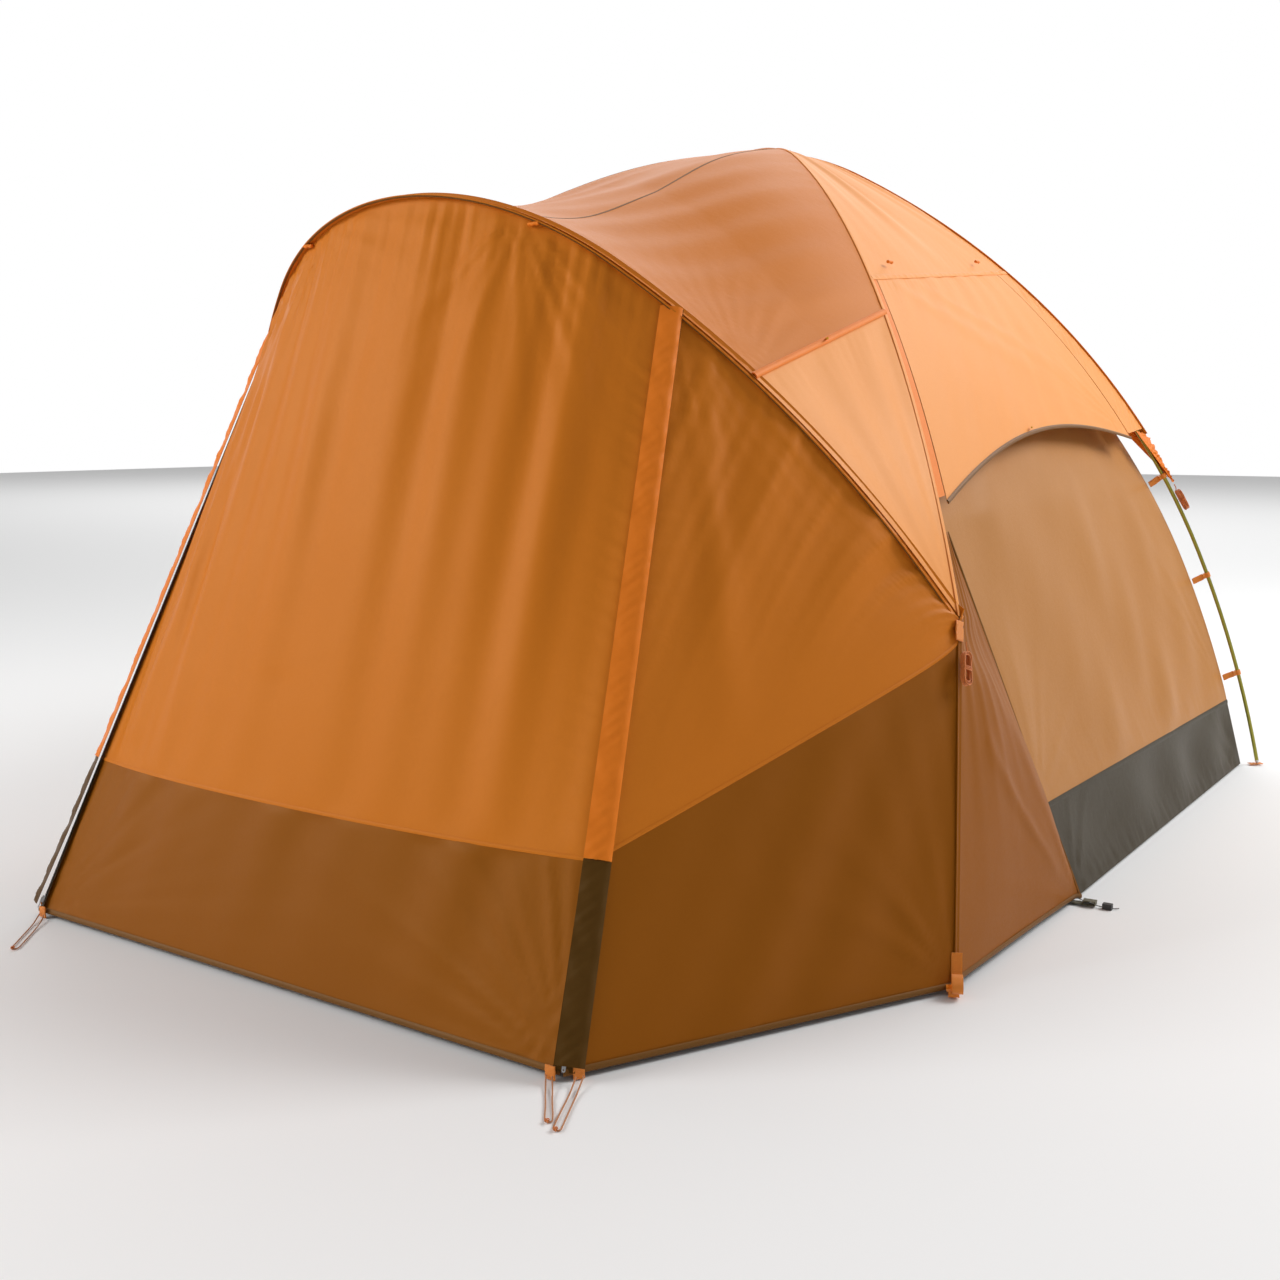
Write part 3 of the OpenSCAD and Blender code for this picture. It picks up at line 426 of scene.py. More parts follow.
def rounded(points, per=4):
    """A smooth line through given points."""
    p = np.asarray(points, float)
    ends = np.vstack([2 * p[0] - p[1], p, 2 * p[-1] - p[-2]])
    out = []
    for i in range(len(p) - 1):
        a, b, c, d = ends[i:i + 4]
        for t in np.linspace(0, 1, per, endpoint=False):
            out.append(0.5 * (2 * b + (c - a) * t + (2 * a - 5 * b + 4 * c - d) * t * t
                              + (3 * b - a - 3 * c + d) * t ** 3))
    out.append(p[-1])
    return np.array(out)


# ---- materials ----
def node_group(name, inputs, outputs):
    group = bpy.data.node_groups.new(name, "ShaderNodeTree")
    for label, kind, value in inputs:
        socket = group.interface.new_socket(label, in_out="INPUT", socket_type=kind)
        socket.default_value = value
    for label, kind in outputs:
        group.interface.new_socket(label, in_out="OUTPUT", socket_type=kind)
    return group


def add(tree, kind, **values):
    node = tree.nodes.new(kind)
    for key, value in values.items():
        if key in node.inputs:
            node.inputs[key].default_value = value
        else:
            setattr(node, key, value)
    return node


def mix_colour(tree, factor, a, b, blend="MIX"):
    node = tree.nodes.new("ShaderNodeMix")
    node.data_type = "RGBA"
    node.blend_type = blend
    for socket, value in ((0, factor), (6, a), (7, b)):
        if isinstance(value, bpy.types.NodeSocket):
            tree.links.new(value, node.inputs[socket])
        else:
            node.inputs[socket].default_value = value
    return node.outputs[2]


def math_node(tree, operation, a, b=0.0, c=0.0):
    node = tree.nodes.new("ShaderNodeMath")
    node.operation = operation
    for socket, value in zip(node.inputs, (a, b, c)):
        if isinstance(value, bpy.types.NodeSocket):
            tree.links.new(value, socket)
        else:
            socket.default_value = value
    return node.outputs[0]


def texture(tree, kind, vector, **values):
    """A texture node read at the given vector."""
    node = add(tree, kind, **values)
    tree.links.new(vector, node.inputs["Vector"])
    return node


def object_place(tree):
    return tree.nodes.new("ShaderNodeTexCoord").outputs["Object"]


def cut_place(tree):
    return add(tree, "ShaderNodeUVMap", uv_map="Cut").outputs[0]


def bump(tree, height, strength, distance, into):
    node = add(tree, "ShaderNodeBump", Strength=strength, Distance=distance)
    tree.links.new(height, node.inputs["Height"])
    tree.links.new(node.outputs["Normal"], into)


def taffeta_group():
    """Fine plain weave with slubs, soft shade drift and faint handling marks."""
    t = node_group(
        "taffeta",
        [("Colour", "NodeSocketColor", (0.5, 0.5, 0.5, 1)),
         ("Shade", "NodeSocketColor", (0.4, 0.4, 0.4, 1)),
         ("Threads", "NodeSocketFloat", 900.0), ("Crinkle", "NodeSocketFloat", 1.0),
         ("Weave", "NodeSocketFloat", 0.25)],
        [("Colour", "NodeSocketColor"), ("Roughness", "NodeSocketFloat"), ("Normal", "NodeSocketVector")])
    given = t.nodes.new("NodeGroupInput")
    out = t.nodes.new("NodeGroupOutput")
    place_at = object_place(t)
    drift = texture(t, "ShaderNodeTexNoise", place_at, Scale=2.3, Detail=3.0)
    fine = texture(t, "ShaderNodeTexNoise", place_at, Scale=160.0, Detail=4.0)
    waves = []
    for direction in ("X", "Y"):
        wave = texture(t, "ShaderNodeTexWave", cut_place(t), bands_direction=direction, Distortion=0.6)
        t.links.new(given.outputs["Threads"], wave.inputs["Scale"])
        waves.append(wave.outputs["Fac"])
    weave = math_node(t, "MULTIPLY", waves[0], waves[1])
    shift = math_node(t, "MULTIPLY_ADD", drift.outputs["Fac"], 0.55, 0.10)
    slub = math_node(t, "MULTIPLY_ADD", fine.outputs["Fac"], 0.30, -0.10)
    factor = math_node(t, "ADD", shift, slub)
    weave_shade = math_node(t, "MULTIPLY_ADD", weave, -0.12, 0.06)
    factor = math_node(t, "ADD", factor, weave_shade)
    shaded = mix_colour(t, factor, given.outputs["Colour"], given.outputs["Shade"])
    t.links.new(shaded, out.inputs["Colour"])
    rough = math_node(t, "MULTIPLY_ADD", drift.outputs["Fac"], 0.16, 0.36)
    rough = math_node(t, "MULTIPLY_ADD", fine.outputs["Fac"], 0.10, rough)
    t.links.new(rough, out.inputs["Roughness"])
    crinkle = texture(t, "ShaderNodeTexNoise", place_at, Scale=26.0, Detail=5.0, Distortion=0.8)
    soft = math_node(t, "MULTIPLY", crinkle.outputs["Fac"], given.outputs["Crinkle"])
    threads = math_node(t, "MULTIPLY", weave, given.outputs["Weave"])
    height = math_node(t, "MULTIPLY_ADD", threads, 0.12, soft)
    bump(t, height, 0.35, 0.0016, out.inputs["Normal"])
    return t


TAFFETA = taffeta_group()


def principled(name, base=(0.5, 0.5, 0.5), **values):
    material = bpy.data.materials.new(name)
    material.use_nodes = True
    tree = material.node_tree
    shader = tree.nodes["Principled BSDF"]
    shader.inputs["Base Color"].default_value = (*base, 1)
    for key, value in values.items():
        shader.inputs[key.replace("_", " ")].default_value = value
    return material, tree, shader


def cloth(name, colour, shade, crinkle=1.0, threads=900.0, weave=0.25, gloss=0.30):
    """Coated cloth whose highlights take the colour of its threads."""
    tint = (1.0, (colour[1] / colour[0]) ** 0.55, (colour[2] / colour[0]) ** 0.45, 1.0)
    material, tree, shader = principled(name, colour, Specular_Tint=tint, Specular_IOR_Level=gloss)
    group = tree.nodes.new("ShaderNodeGroup")
    group.node_tree = TAFFETA
    group.inputs["Colour"].default_value = (*colour, 1)
    group.inputs["Shade"].default_value = (*shade, 1)
    group.inputs["Crinkle"].default_value = crinkle
    group.inputs["Threads"].default_value = threads
    group.inputs["Weave"].default_value = weave
    for label, into in (("Colour", "Base Color"), ("Roughness", "Roughness"), ("Normal", "Normal")):
        tree.links.new(group.outputs[label], shader.inputs[into])
    return material


def webbing(name, colour, shade):
    """Ribbed webbing: ribs across the strip and a twill shade."""
    material, tree, shader = principled(name, colour, Roughness=0.62, Sheen_Weight=0.2)
    cut = cut_place(tree)
    ribs = texture(tree, "ShaderNodeTexWave", cut, bands_direction="Y", Scale=105.0, Distortion=0.3)
    twill = texture(tree, "ShaderNodeTexWave", cut, bands_direction="DIAGONAL", Scale=190.0, Distortion=0.2)
    noise = texture(tree, "ShaderNodeTexNoise", object_place(tree), Scale=220.0, Detail=3.0)
    grain = math_node(tree, "MULTIPLY", noise.outputs["Fac"], 0.5)
    factor = math_node(tree, "MULTIPLY_ADD", twill.outputs["Fac"], 0.4, grain)
    tree.links.new(mix_colour(tree, factor, (*colour, 1), (*shade, 1)), shader.inputs["Base Color"])
    bump(tree, ribs.outputs["Fac"], 0.6, 0.0006, shader.inputs["Normal"])
    return material


def braid(name, colour, fleck):
    """Braided cord: slanting strands with a fleck."""
    material, tree, shader = principled(name, colour, Roughness=0.6, Sheen_Weight=0.2)
    place_at = object_place(tree)
    strands = texture(tree, "ShaderNodeTexWave", place_at, bands_direction="DIAGONAL", Scale=260.0,
                      Distortion=1.0)
    spots = texture(tree, "ShaderNodeTexVoronoi", place_at, Scale=700.0)
    factor = math_node(tree, "MULTIPLY", strands.outputs["Fac"], spots.outputs["Distance"])
    tree.links.new(mix_colour(tree, factor, (*colour, 1), (*fleck, 1)), shader.inputs["Base Color"])
    bump(tree, strands.outputs["Fac"], 0.7, 0.0005, shader.inputs["Normal"])
    return material


def hard(name, colour, shade, rough, metal=0.0, grain=240.0, bump_depth=0.0002, coat=0.0):
    """Moulded plastic or metal with fine grain, wear and uneven gloss."""
    material, tree, shader = principled(name, colour, Metallic=metal, Coat_Weight=coat)
    place_at = object_place(tree)
    fine = texture(tree, "ShaderNodeTexNoise", place_at, Scale=grain, Detail=4.0)
    broad = texture(tree, "ShaderNodeTexNoise", place_at, Scale=14.0, Detail=3.0)
    speckle = math_node(tree, "MULTIPLY", fine.outputs["Fac"], 0.3)
    factor = math_node(tree, "MULTIPLY_ADD", broad.outputs["Fac"], 0.6, speckle)
    tree.links.new(mix_colour(tree, factor, (*colour, 1), (*shade, 1)), shader.inputs["Base Color"])
    gloss = math_node(tree, "MULTIPLY_ADD", fine.outputs["Fac"], 0.18, rough)
    tree.links.new(gloss, shader.inputs["Roughness"])
    bump(tree, fine.outputs["Fac"], 0.4, bump_depth, shader.inputs["Normal"])
    return material


ORANGE = cloth("fly orange", (0.64, 0.190, 0.016), (0.57, 0.160, 0.012))
# A paler copy of the fly orange: painted light, standing for the key light that falls on and shines through
# the side panels.
PAINTED_LIT_ORANGE = cloth("fly orange with painted light", (0.84, 0.330, 0.082), (0.77, 0.285, 0.062), crinkle=0.7)
BRIGHT = cloth("flap orange", (0.82, 0.215, 0.020), (0.74, 0.180, 0.015), crinkle=1.4)
BROWN = cloth("fly brown", (0.310, 0.095, 0.006), (0.26, 0.077, 0.004), crinkle=0.8)
UMBER = cloth("flap brown", (0.090, 0.040, 0.006), (0.070, 0.030, 0.004), crinkle=1.4)
TAN = cloth("inner tent cloth", (0.50, 0.22, 0.060), (0.38, 0.155, 0.035), crinkle=1.1)
OLIVE = cloth("floor cloth", (0.060, 0.047, 0.029), (0.045, 0.035, 0.021), crinkle=1.6, threads=700,
              gloss=0.2)
# Dark brown binding for hems and seams, also used for the painted shade line under the hoop sleeve.
BINDING_AND_PAINTED_SHADE = cloth("seam binding and painted shade line", (0.20, 0.088, 0.020), (0.15, 0.06, 0.012), crinkle=0.4)
STRAP = webbing("orange webbing", (0.86, 0.27, 0.015), (0.66, 0.17, 0.01))
STRAP_OLIVE = webbing("olive webbing", (0.105, 0.085, 0.030), (0.06, 0.05, 0.02))
CORD = braid("orange cord", (0.80, 0.22, 0.03), (0.30, 0.07, 0.01))
CORD_BROWN = braid("brown cord", (0.42, 0.15, 0.05), (0.65, 0.30, 0.12))
POLE = hard("olive anodised tube", (0.36, 0.33, 0.055), (0.27, 0.25, 0.04), 0.26, metal=0.85, grain=90)
ALLOY = hard("bare alloy", (0.66, 0.67, 0.68), (0.52, 0.53, 0.55), 0.28, metal=1.0)
BLACK = hard("black nylon", (0.028, 0.028, 0.028), (0.045, 0.042, 0.040), 0.42)
BUCKLE = hard("orange nylon", (0.86, 0.27, 0.015), (0.72, 0.20, 0.01), 0.34, coat=0.2)
YELLOW = hard("yellow nylon", (0.82, 0.50, 0.03), (0.70, 0.40, 0.02), 0.36)
ELASTIC = braid("black elastic", (0.03, 0.03, 0.03), (0.12, 0.12, 0.12))
COIL = hard("zip coil", (0.10, 0.05, 0.012), (0.07, 0.035, 0.01), 0.45, grain=420, bump_depth=0.0004)

CAD_LOOKS = {
    POLE: ("main_pole_low", "main_pole_high", "hoop_pole"),
    ALLOY: ("pole_ferrules", "pole_tips", "zip_slider_right", "zip_slider_left", "zip_pull_right",
            "zip_pull_left", "inner_zip_slider"),
    BLACK: ("crown_clip", "crossing_clips", "cord_locks"),
    ELASTIC: ("shock_cords",),
    BUCKLE: ("ladder_locks", "pole_clips"),
    STRAP: ("clip_tabs", "front_foot_straps", "rear_foot_straps", "guy_tabs", "stake_tabs"),
    STRAP_OLIVE: ("hoop_foot_straps",),
    YELLOW: ("cover_hem_toggles_right", "cover_hem_toggles_left", "vent_toggles"),
    BRIGHT: ("cover_toggles", "door_toggles"),
    COIL: ("zip_coil_right", "zip_coil_left", "inner_zip_coil"),
    CORD: ("guy_hanks", "stake_cords"),
}
for look, names in CAD_LOOKS.items():
    for name in names:
        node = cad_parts[name]
        node.data.materials.clear()
        node.data.materials.append(look)


# ---- cords ----
STAKE_LOOPS = {
    "stake_loop_front": [
        (0.749, -1.637, 0.010), (0.756, -1.646, 0.008), (0.765, -1.658, 0.005), (0.776, -1.672, 0.003),
        (0.788, -1.688, 0.002), (0.801, -1.704, 0.002), (0.815, -1.722, 0.002), (0.829, -1.741, 0.002),
        (0.838, -1.753, 0.002), (0.843, -1.759, 0.002), (0.847, -1.762, 0.002), (0.852, -1.761, 0.002),
        (0.855, -1.757, 0.002), (0.853, -1.751, 0.002), (0.845, -1.740, 0.002), (0.833, -1.725, 0.002),
        (0.820, -1.709, 0.002), (0.807, -1.693, 0.002), (0.795, -1.677, 0.003), (0.784, -1.663, 0.005),
        (0.773, -1.649, 0.008), (0.763, -1.637, 0.010)],
    "stake_loop_side": [
        (0.799, -1.615, 0.010), (0.804, -1.626, 0.008), (0.810, -1.640, 0.005), (0.818, -1.657, 0.003),
        (0.827, -1.677, 0.002), (0.836, -1.697, 0.002), (0.845, -1.717, 0.002), (0.855, -1.739, 0.002),
        (0.864, -1.758, 0.002), (0.871, -1.772, 0.002), (0.876, -1.777, 0.002), (0.882, -1.776, 0.002),
        (0.885, -1.771, 0.002), (0.882, -1.763, 0.002), (0.873, -1.744, 0.002), (0.863, -1.723, 0.002),
        (0.853, -1.702, 0.002), (0.843, -1.681, 0.002), (0.834, -1.661, 0.003), (0.825, -1.642, 0.005),
        (0.817, -1.624, 0.008), (0.807, -1.603, 0.010)],
    "stake_loop_left": [
        (-0.763, -1.637, 0.010), (-0.756, -1.646, 0.008), (-0.746, -1.658, 0.005), (-0.733, -1.673, 0.003),
        (-0.717, -1.692, 0.002), (-0.700, -1.712, 0.002), (-0.683, -1.732, 0.002), (-0.666, -1.752, 0.002),
        (-0.649, -1.772, 0.002), (-0.634, -1.790, 0.002), (-0.626, -1.796, 0.002), (-0.620, -1.794, 0.002),
        (-0.618, -1.788, 0.002), (-0.622, -1.780, 0.002), (-0.635, -1.764, 0.002), (-0.651, -1.745, 0.002),
        (-0.668, -1.725, 0.002), (-0.685, -1.705, 0.002), (-0.702, -1.685, 0.003), (-0.718, -1.666, 0.005),
        (-0.734, -1.649, 0.008), (-0.747, -1.637, 0.010)],
}
CORD_D = 0.003


def knot(name, centre, size):
    """A small overhand knot with two short tails."""
    t = np.linspace(0, 2 * math.pi, 34)
    core = np.stack([np.sin(t) + 2 * np.sin(2 * t), np.cos(t) - 2 * np.cos(2 * t), -np.sin(3 * t)], -1)
    core = core * np.array([size / 3, size / 3, size / 4]) + np.asarray(centre)
    tail_out = core[-1] + np.outer(np.linspace(0.1, 1, 5), [size * 1.6, -size * 1.2, -0.0006])
    return tube(name, np.vstack([core, tail_out]), 0.0011, CORD, "cord_orange", "tent", sides=6,
                in_row=True)


for name, points in STAKE_LOOPS.items():
    path = rounded(points, 3)
    loop = tube(name, path, CORD_D / 2, CORD_BROWN, "cord_orange", "tent", sides=8, in_row=True,
                node="stake_cords")
    tip = path[np.argmin(path[:, 1])]
    end_knot = knot(name + "_knot", tip + np.array([0.0, 0.001, 0.0035]), 0.0042)
    path_length(path)


def leg_axes(front, s, turn=0.0):
    """Origin on the fly seam over a right-hand leg, with the out, side and up directions there."""
    at = front_fly if front else rear_fly
    low, here, high = (at(np.array(s + d)) for d in (-0.002, 0.0, 0.002))
    up = unit(high - low)
    azimuth = -PLANE - LEG_TURN if front else PLANE
    flat = np.array([math.cos(azimuth), math.sin(azimuth), 0.0])
    out = unit(flat - up * (flat @ up))
    side = np.cross(up, out)
    c, n = math.cos(turn), math.sin(turn)
    return here, out * c + side * n, side * c - out * n, up


LAY = 0.0031  # metres from one turn of a hank to the next


def hank_path(turns=11, run=0.046, radius=0.0118):
    """Racetrack turns that lie beside each other in three layers, in the plane of the bundle."""
    points = []
    for k in range(turns):
        r = radius - LAY * (k % 3) * 0.55
        depth = LAY * (k // 3) - 0.0046
        slip = 0.0022 * math.sin(2.4 * k)
        half = run / 2 + 0.0035 * math.sin(1.7 * k)
        turn = []
        for first, end in ((0, half), (180, -half)):
            for a in np.radians(np.linspace(first, first + 180, 8)):
                turn.append((r * math.cos(a), end + r * math.sin(a)))
        for i, (x, z) in enumerate(turn):
            points.append((x + slip, z, depth + LAY / 3 * i / len(turn)))
    return np.array(points)


def guy_hank(name, front, s, out_by, turn, mirror):
    """A guy line wound into a hank, tied at its middle and hung from its loop."""
    origin, out, side, up = leg_axes(front, s, turn)
    flat = hank_path()
    top = flat[:, 1].max()
    centre = origin + out * out_by - up * (top + 0.022)
    body = centre + flat[:, :1] * side + flat[:, 1:2] * up + flat[:, 2:] * out
    lead = origin + out * out_by
    neck = [lead, lead - up * 0.008, lead - up * 0.016 + side * 0.003]
    path = rounded(np.vstack([neck, body]), 1)
    if mirror:
        path = mirrored(path)
    path = row(path)
    piece = tube(name, path, CORD_D / 2, CORD, "cord_orange", "tent", sides=7, in_row=True,
                 node="guy_hanks")
    a = np.linspace(0, 2 * math.pi * 3, 60)
    wrap = centre + np.outer(np.cos(a) * 0.0150, side) + np.outer(np.sin(a) * 0.0082, out) \
        + np.outer(np.linspace(-0.005, 0.005, 60), up)
    if mirror:
        wrap = mirrored(wrap)
    tie = tube(name + "_tie", wrap, 0.0014, CORD, "cord_orange", "tent", sides=6)
    path_length(path)


CORNER_TURN = math.radians(49)
for mirror, side_name in SIDES:
    guy_hank("guy_line_front_" + side_name, True, MAIN["leg"] - 0.050, 0.017, CORNER_TURN, mirror)
    guy_hank("guy_line_rear_" + side_name, False, CORNER_LOW - 0.008, -0.001, 0.0, mirror)


# ---- fly ----
ROOF_SAG = 0.060
ROOF_CROWN = 0.016


def roof_shape(u, v):
    a = 2 * u - 1
    pole = sided(lambda b: front_fly(mix(CROWN_S, VENT, b)), a)
    hoop = sided(lambda b: hoop_fly(mix(HOOP["full"], VENT_HOOP, b)), a)
    sag = ROOF_SAG * np.sin(math.pi * np.clip(v, 0, 1) ** 1.9)
    sag = (sag - ROOF_CROWN * np.sin(math.pi * np.clip(v / 0.5, 0, 1))) * np.cos(a * math.pi / 2) ** 0.8
    return mix(pole, hoop, v[..., None]) - sag[..., None] * np.array([0.0, 0.2, 1.0])


def roof_folds(x, y, u, v):
    length = y.max()
    ends = 0.0018 * gathers(x, y, 0.045, 0.08, 11) + 0.0024 * gathers(x, length - y, 0.05, 0.13, 12)
    middle = 0.0022 * ripple(x + 0.12 * y, 0.26, 13) * np.sin(math.pi * v)
    sides = 0.0030 * (fan(x, y, (x.max(), length), 0.20, 0.35, 14) + fan(x, y, (0, length), 0.20, 0.35, 15))
    return (ends + middle + sides) * edge_fade(u, v)


def edge_fade(u, v, width=0.03):
    """Nought on the sewn edges, one a little way in."""
    d = np.minimum(np.minimum(u, 1 - u), np.minimum(v, 1 - v))
    return 1 - np.exp(-(d / width) ** 1.2)


def shoulder_shape(u, v):
    t = mix(0.0, 0.97, v)
    front = hoop_fly(mix(VENT_HOOP, KNEE_HOOP, t))
    back = front_fly(mix(VENT, MAIN["leg"], t))
    return mix(front, back, u[..., None])


def shoulder_folds(x, y, u, v):
    return (0.0014 * gathers(x, y, 0.040, 0.07, 22)
            + 0.0026 * ripple(x + 0.10 * y, 0.27, 23) * np.sin(math.pi * np.clip(v, 0, 1) ** 0.6)
            ) * edge_fade(u, v) * (1 - 0.75 * v)


def side_lengths(t, seam, hem):
    return np.where(t < 1, mix(CROWN_S, seam, t), mix(seam, hem, t - 1))


def side_fly(t, u):
    return mix(front_fly(side_lengths(t, SEAM_FRONT, HEM_FRONT)),
               rear_fly(side_lengths(t, SEAM_REAR, HEM_REAR)), np.asarray(u)[..., None])


def side_top_folds(x, y, u, v):
    return (0.0018 * gathers(x, y.max() - y, 0.04, 0.09, 31) + 0.0030 * ripple(x - 0.4 * y, 0.24, 32)
            * np.sin(math.pi * v) + 0.002 * gathers(y, x, 0.05, 0.06, 33)) * edge_fade(u, v)


COVER_FRONT, COVER_REAR, HEM_ARCH = 0.03, 0.90, 0.16


def cover_shape(u, v):
    return side_fly(1 + v * (1 - HEM_ARCH * 4 * u * (1 - u)), mix(COVER_FRONT, COVER_REAR, u))


def cover_folds(x, y, u, v):
    w = x.max()
    return (0.0016 * gathers(x, y, 0.035, 0.05, 41)
            + 0.0045 * crease(x, y, (0.10 * w, 0.02), (0.72 * w, 0.50), 0.06)
            + 0.0030 * crease(x, y, (0.25 * w, 0.02), (0.97 * w, 0.55), 0.05)
            + 0.0025 * fan(x, y, (w, y.max() * 0.98), 0.22, 0.22, 42)
            + 0.0022 * ripple(x + 0.5 * y, 0.26, 43) * np.sin(math.pi * u)) * edge_fade(u, v, 0.02)


def rear_strip_shape(u, v):
    return side_fly(1 + 0.97 * v, mix(COVER_REAR + 0.004, 0.998, u))


def strip_folds(x, y, u, v):
    """The window cover's rear binding is rucked where it is pulled back to the pole."""
    crush = ripple(y + 0.8 * x, 0.075, 51) * (0.6 + 0.4 * ripple(y, 0.31, 52))
    return 0.0042 * crush * np.sin(math.pi * u) ** 0.7 * (0.3 + 0.7 * np.sin(math.pi * v))


def front_strip_shape(u, v):
    return side_fly(1 + 0.97 * v, mix(0.001, COVER_FRONT - 0.003, u))


def rear_fly_shape(u, v):
    p = rear_fly(mix(CROWN_S, HEM_REAR, v * (1 - 0.40 * u * (1 - u))))
    return mix(p, mirrored(p), u[..., None])


def rear_folds(x, y, u, v):
    w, h = x.max(), y.max()
    return (0.0034 * (fan(x, y, (0, h), 0.24, 0.32, 61) + fan(x, y, (w, h), 0.24, 0.32, 62))
            + 0.0035 * ripple(x, 0.34, 63) * np.sin(math.pi * v) * np.sin(math.pi * u)
            + 0.0022 * (gathers(y, x, 0.05, 0.06, 64) + gathers(y, w - x, 0.05, 0.06, 65))
            ) * edge_fade(u, v, 0.02)


panel("fly_roof", roof_shape, ORANGE, "fly_orange", "tent", "fly_roof_front", roof_folds)
panel("fly_back", rear_fly_shape, ORANGE, "fly_orange", "tent", "fly_rear", rear_folds)
# Shoulders, sides, rear strips and window covers are in the painted-light orange; the front strips are in
# the flap orange.
for mirror, side_name in SIDES:
    panel("fly_shoulder_cloth_" + side_name, shoulder_shape, PAINTED_LIT_ORANGE, "fly_light", "tent",
          "fly_shoulder_" + side_name, shoulder_folds, step=0.012, mirror=mirror)
    panel("fly_side_cloth_" + side_name, lambda u, v: side_fly(v, u), PAINTED_LIT_ORANGE, "fly_light", "tent",
          "fly_side_" + side_name, side_top_folds, mirror=mirror)
    panel("fly_strip_rear_" + side_name, rear_strip_shape, PAINTED_LIT_ORANGE, "fly_light", "tent",
          "fly_side_" + side_name, strip_folds, step=0.008, mirror=mirror)
    panel("fly_strip_front_" + side_name, front_strip_shape, BRIGHT, "fly_light", "tent",
          "fly_side_" + side_name, step=0.010, mirror=mirror)
    panel("window_cover_" + side_name, cover_shape, PAINTED_LIT_ORANGE, "fly_light", "side_cover_" + side_name,
          "side_cover_" + side_name, cover_folds, step=0.012, mirror=mirror)

# ---- vestibule ----
ZIP_TOP = hoop_fly(np.array(ZIP_HOOP))
ZIP_LEN = float(np.linalg.norm(ZIP_TOP - HEM))
DOOR_W = 1 - 0.008 / ZIP_TOP[0]


def front_hoop(w):
    return sided(lambda b: hoop_fly(mix(HOOP["full"], ZIP_HOOP, b)), w)


def front_hem(w):
    x = HEM[0] * front_hoop(w)[..., 0] / ZIP_TOP[0]
    return np.stack([x, np.full_like(x, HEM[1]), np.full_like(x, HEM[2])], -1)


def front_at(w, d):
    return mix(front_hoop(w), front_hem(w), np.asarray(d)[..., None])


def front_drop(w, metres):
    return metres / np.linalg.norm(front_hem(w) - front_hoop(w), axis=-1)


def front_level(w, z):
    top = front_hoop(w)[..., 2]
    return (top - z) / (top - HEM[2])


def door_shape(u, v):
    w = (2 * u - 1) * DOOR_W
    return front_at(w, mix(front_drop(w, 0.004), front_level(w, BAND_Z + 0.0005), v))


def door_band_shape(u, v):
    w = (2 * u - 1) * DOOR_W
    return front_at(w, mix(front_level(w, BAND_Z - 0.0005), 1.0, v))


def door_folds(x, y, u, v):
    w, h = x.max(), y.max()
    hung = 0.0065 * ripple(x + 0.05 * y, 0.19, 71) * (0.35 + 0.65 * np.exp(-((v - 0.35) / 0.35) ** 2))
    head = 0.0045 * gathers(x, y, 0.055, 0.14, 72, 0.05)
    left_pull = 0.0080 * pulled(ripple(x - 0.06 * y, 0.085, 73)) * np.exp(-(u / 0.16) ** 2) * (1 - 0.6 * v)
    toggles = 0.0045 * (fan(x, y, (w * 0.28, 0.0), 0.36, 0.22, 74)
                        + fan(x, y, (w * 0.72, 0.0), 0.36, 0.22, 75))
    long_a = 0.010 * crease(x, y, (0.20 * w, 0.03), (0.08 * w, 0.95 * h), 0.05)
    long_b = 0.006 * crease(x, y, (0.36 * w, 0.03), (0.42 * w, 0.80 * h), 0.07)
    edge = 0.003 * gathers(y, w - x, 0.06, 0.05, 76)
    return (hung + head + left_pull + toggles + long_a + long_b + edge) * edge_fade(u, v, 0.02)


def door_band_folds(x, y, u, v):
    w, h = x.max(), y.max()
    return (0.004 * ripple(x + 0.2 * y, 0.26, 81) * (1 - v) + 0.0045 * fan(x, y, (0, h), 0.20, 0.35, 82)
            + 0.0045 * fan(x, y, (w, h), 0.20, 0.30, 83)) * edge_fade(u, v, 0.02)


def vestibule_top(v):
    p = hoop_fly(mix(ZIP_HOOP, KNEE_HOOP, v))
    return mix(p, front_fly(np.array(MAIN["leg"])), (v ** 6)[..., None])


def vestibule_hem(v):
    foot = front_fly(np.array(LEG_FOOT))
    return mix(HEM, np.array([foot[0], foot[1], HEM[2]]), v[..., None])


def vestibule_at(v, d):
    d = np.asarray(d)[..., None]
    bow = (v ** 3)[..., None] * (front_fly(mix(MAIN["leg"], LEG_FOOT, d[..., 0]))
                                 - mix(front_fly(np.array(MAIN["leg"])), front_fly(np.array(LEG_FOOT)), d))
    return mix(vestibule_top(v), vestibule_hem(v), d) + bow


def vestibule_level(v):
    top = vestibule_top(v)[..., 2]
    return (top - mix(BAND_Z, BAND_REAR_Z, v)) / (top - HEM[2])


def side_shape(u, v):
    w = mix(0.006, 0.999, u)
    return vestibule_at(w, mix(0.003, vestibule_level(w) - 0.0004, v))


def side_band_shape(u, v):
    w = mix(0.006, 0.999, u)
    return vestibule_at(w, mix(vestibule_level(w) + 0.0004, 1.0, v))


def side_folds(x, y, u, v):
    w, h = x.max(), y.max()
    return (0.0050 * ripple(x + 0.20 * y, 0.24, 91) * np.exp(-((v - 0.25) / 0.35) ** 2)
            + 0.0022 * fan(x, y, (0.0, 0.0), 0.30, 0.30, 92) + 0.0012 * gathers(x, y, 0.06, 0.06, 93)
            + 0.0060 * crease(x, y, (0.10 * w, 0.04), (0.30 * w, 0.90 * h), 0.06)
            + 0.0024 * pulled(ripple(x + 0.28 * y, 0.085, 98)) * np.exp(-(v / 0.5) ** 2)
            + 0.0014 * gathers(y, x, 0.045, 0.05, 94)) * edge_fade(u, v, 0.02)


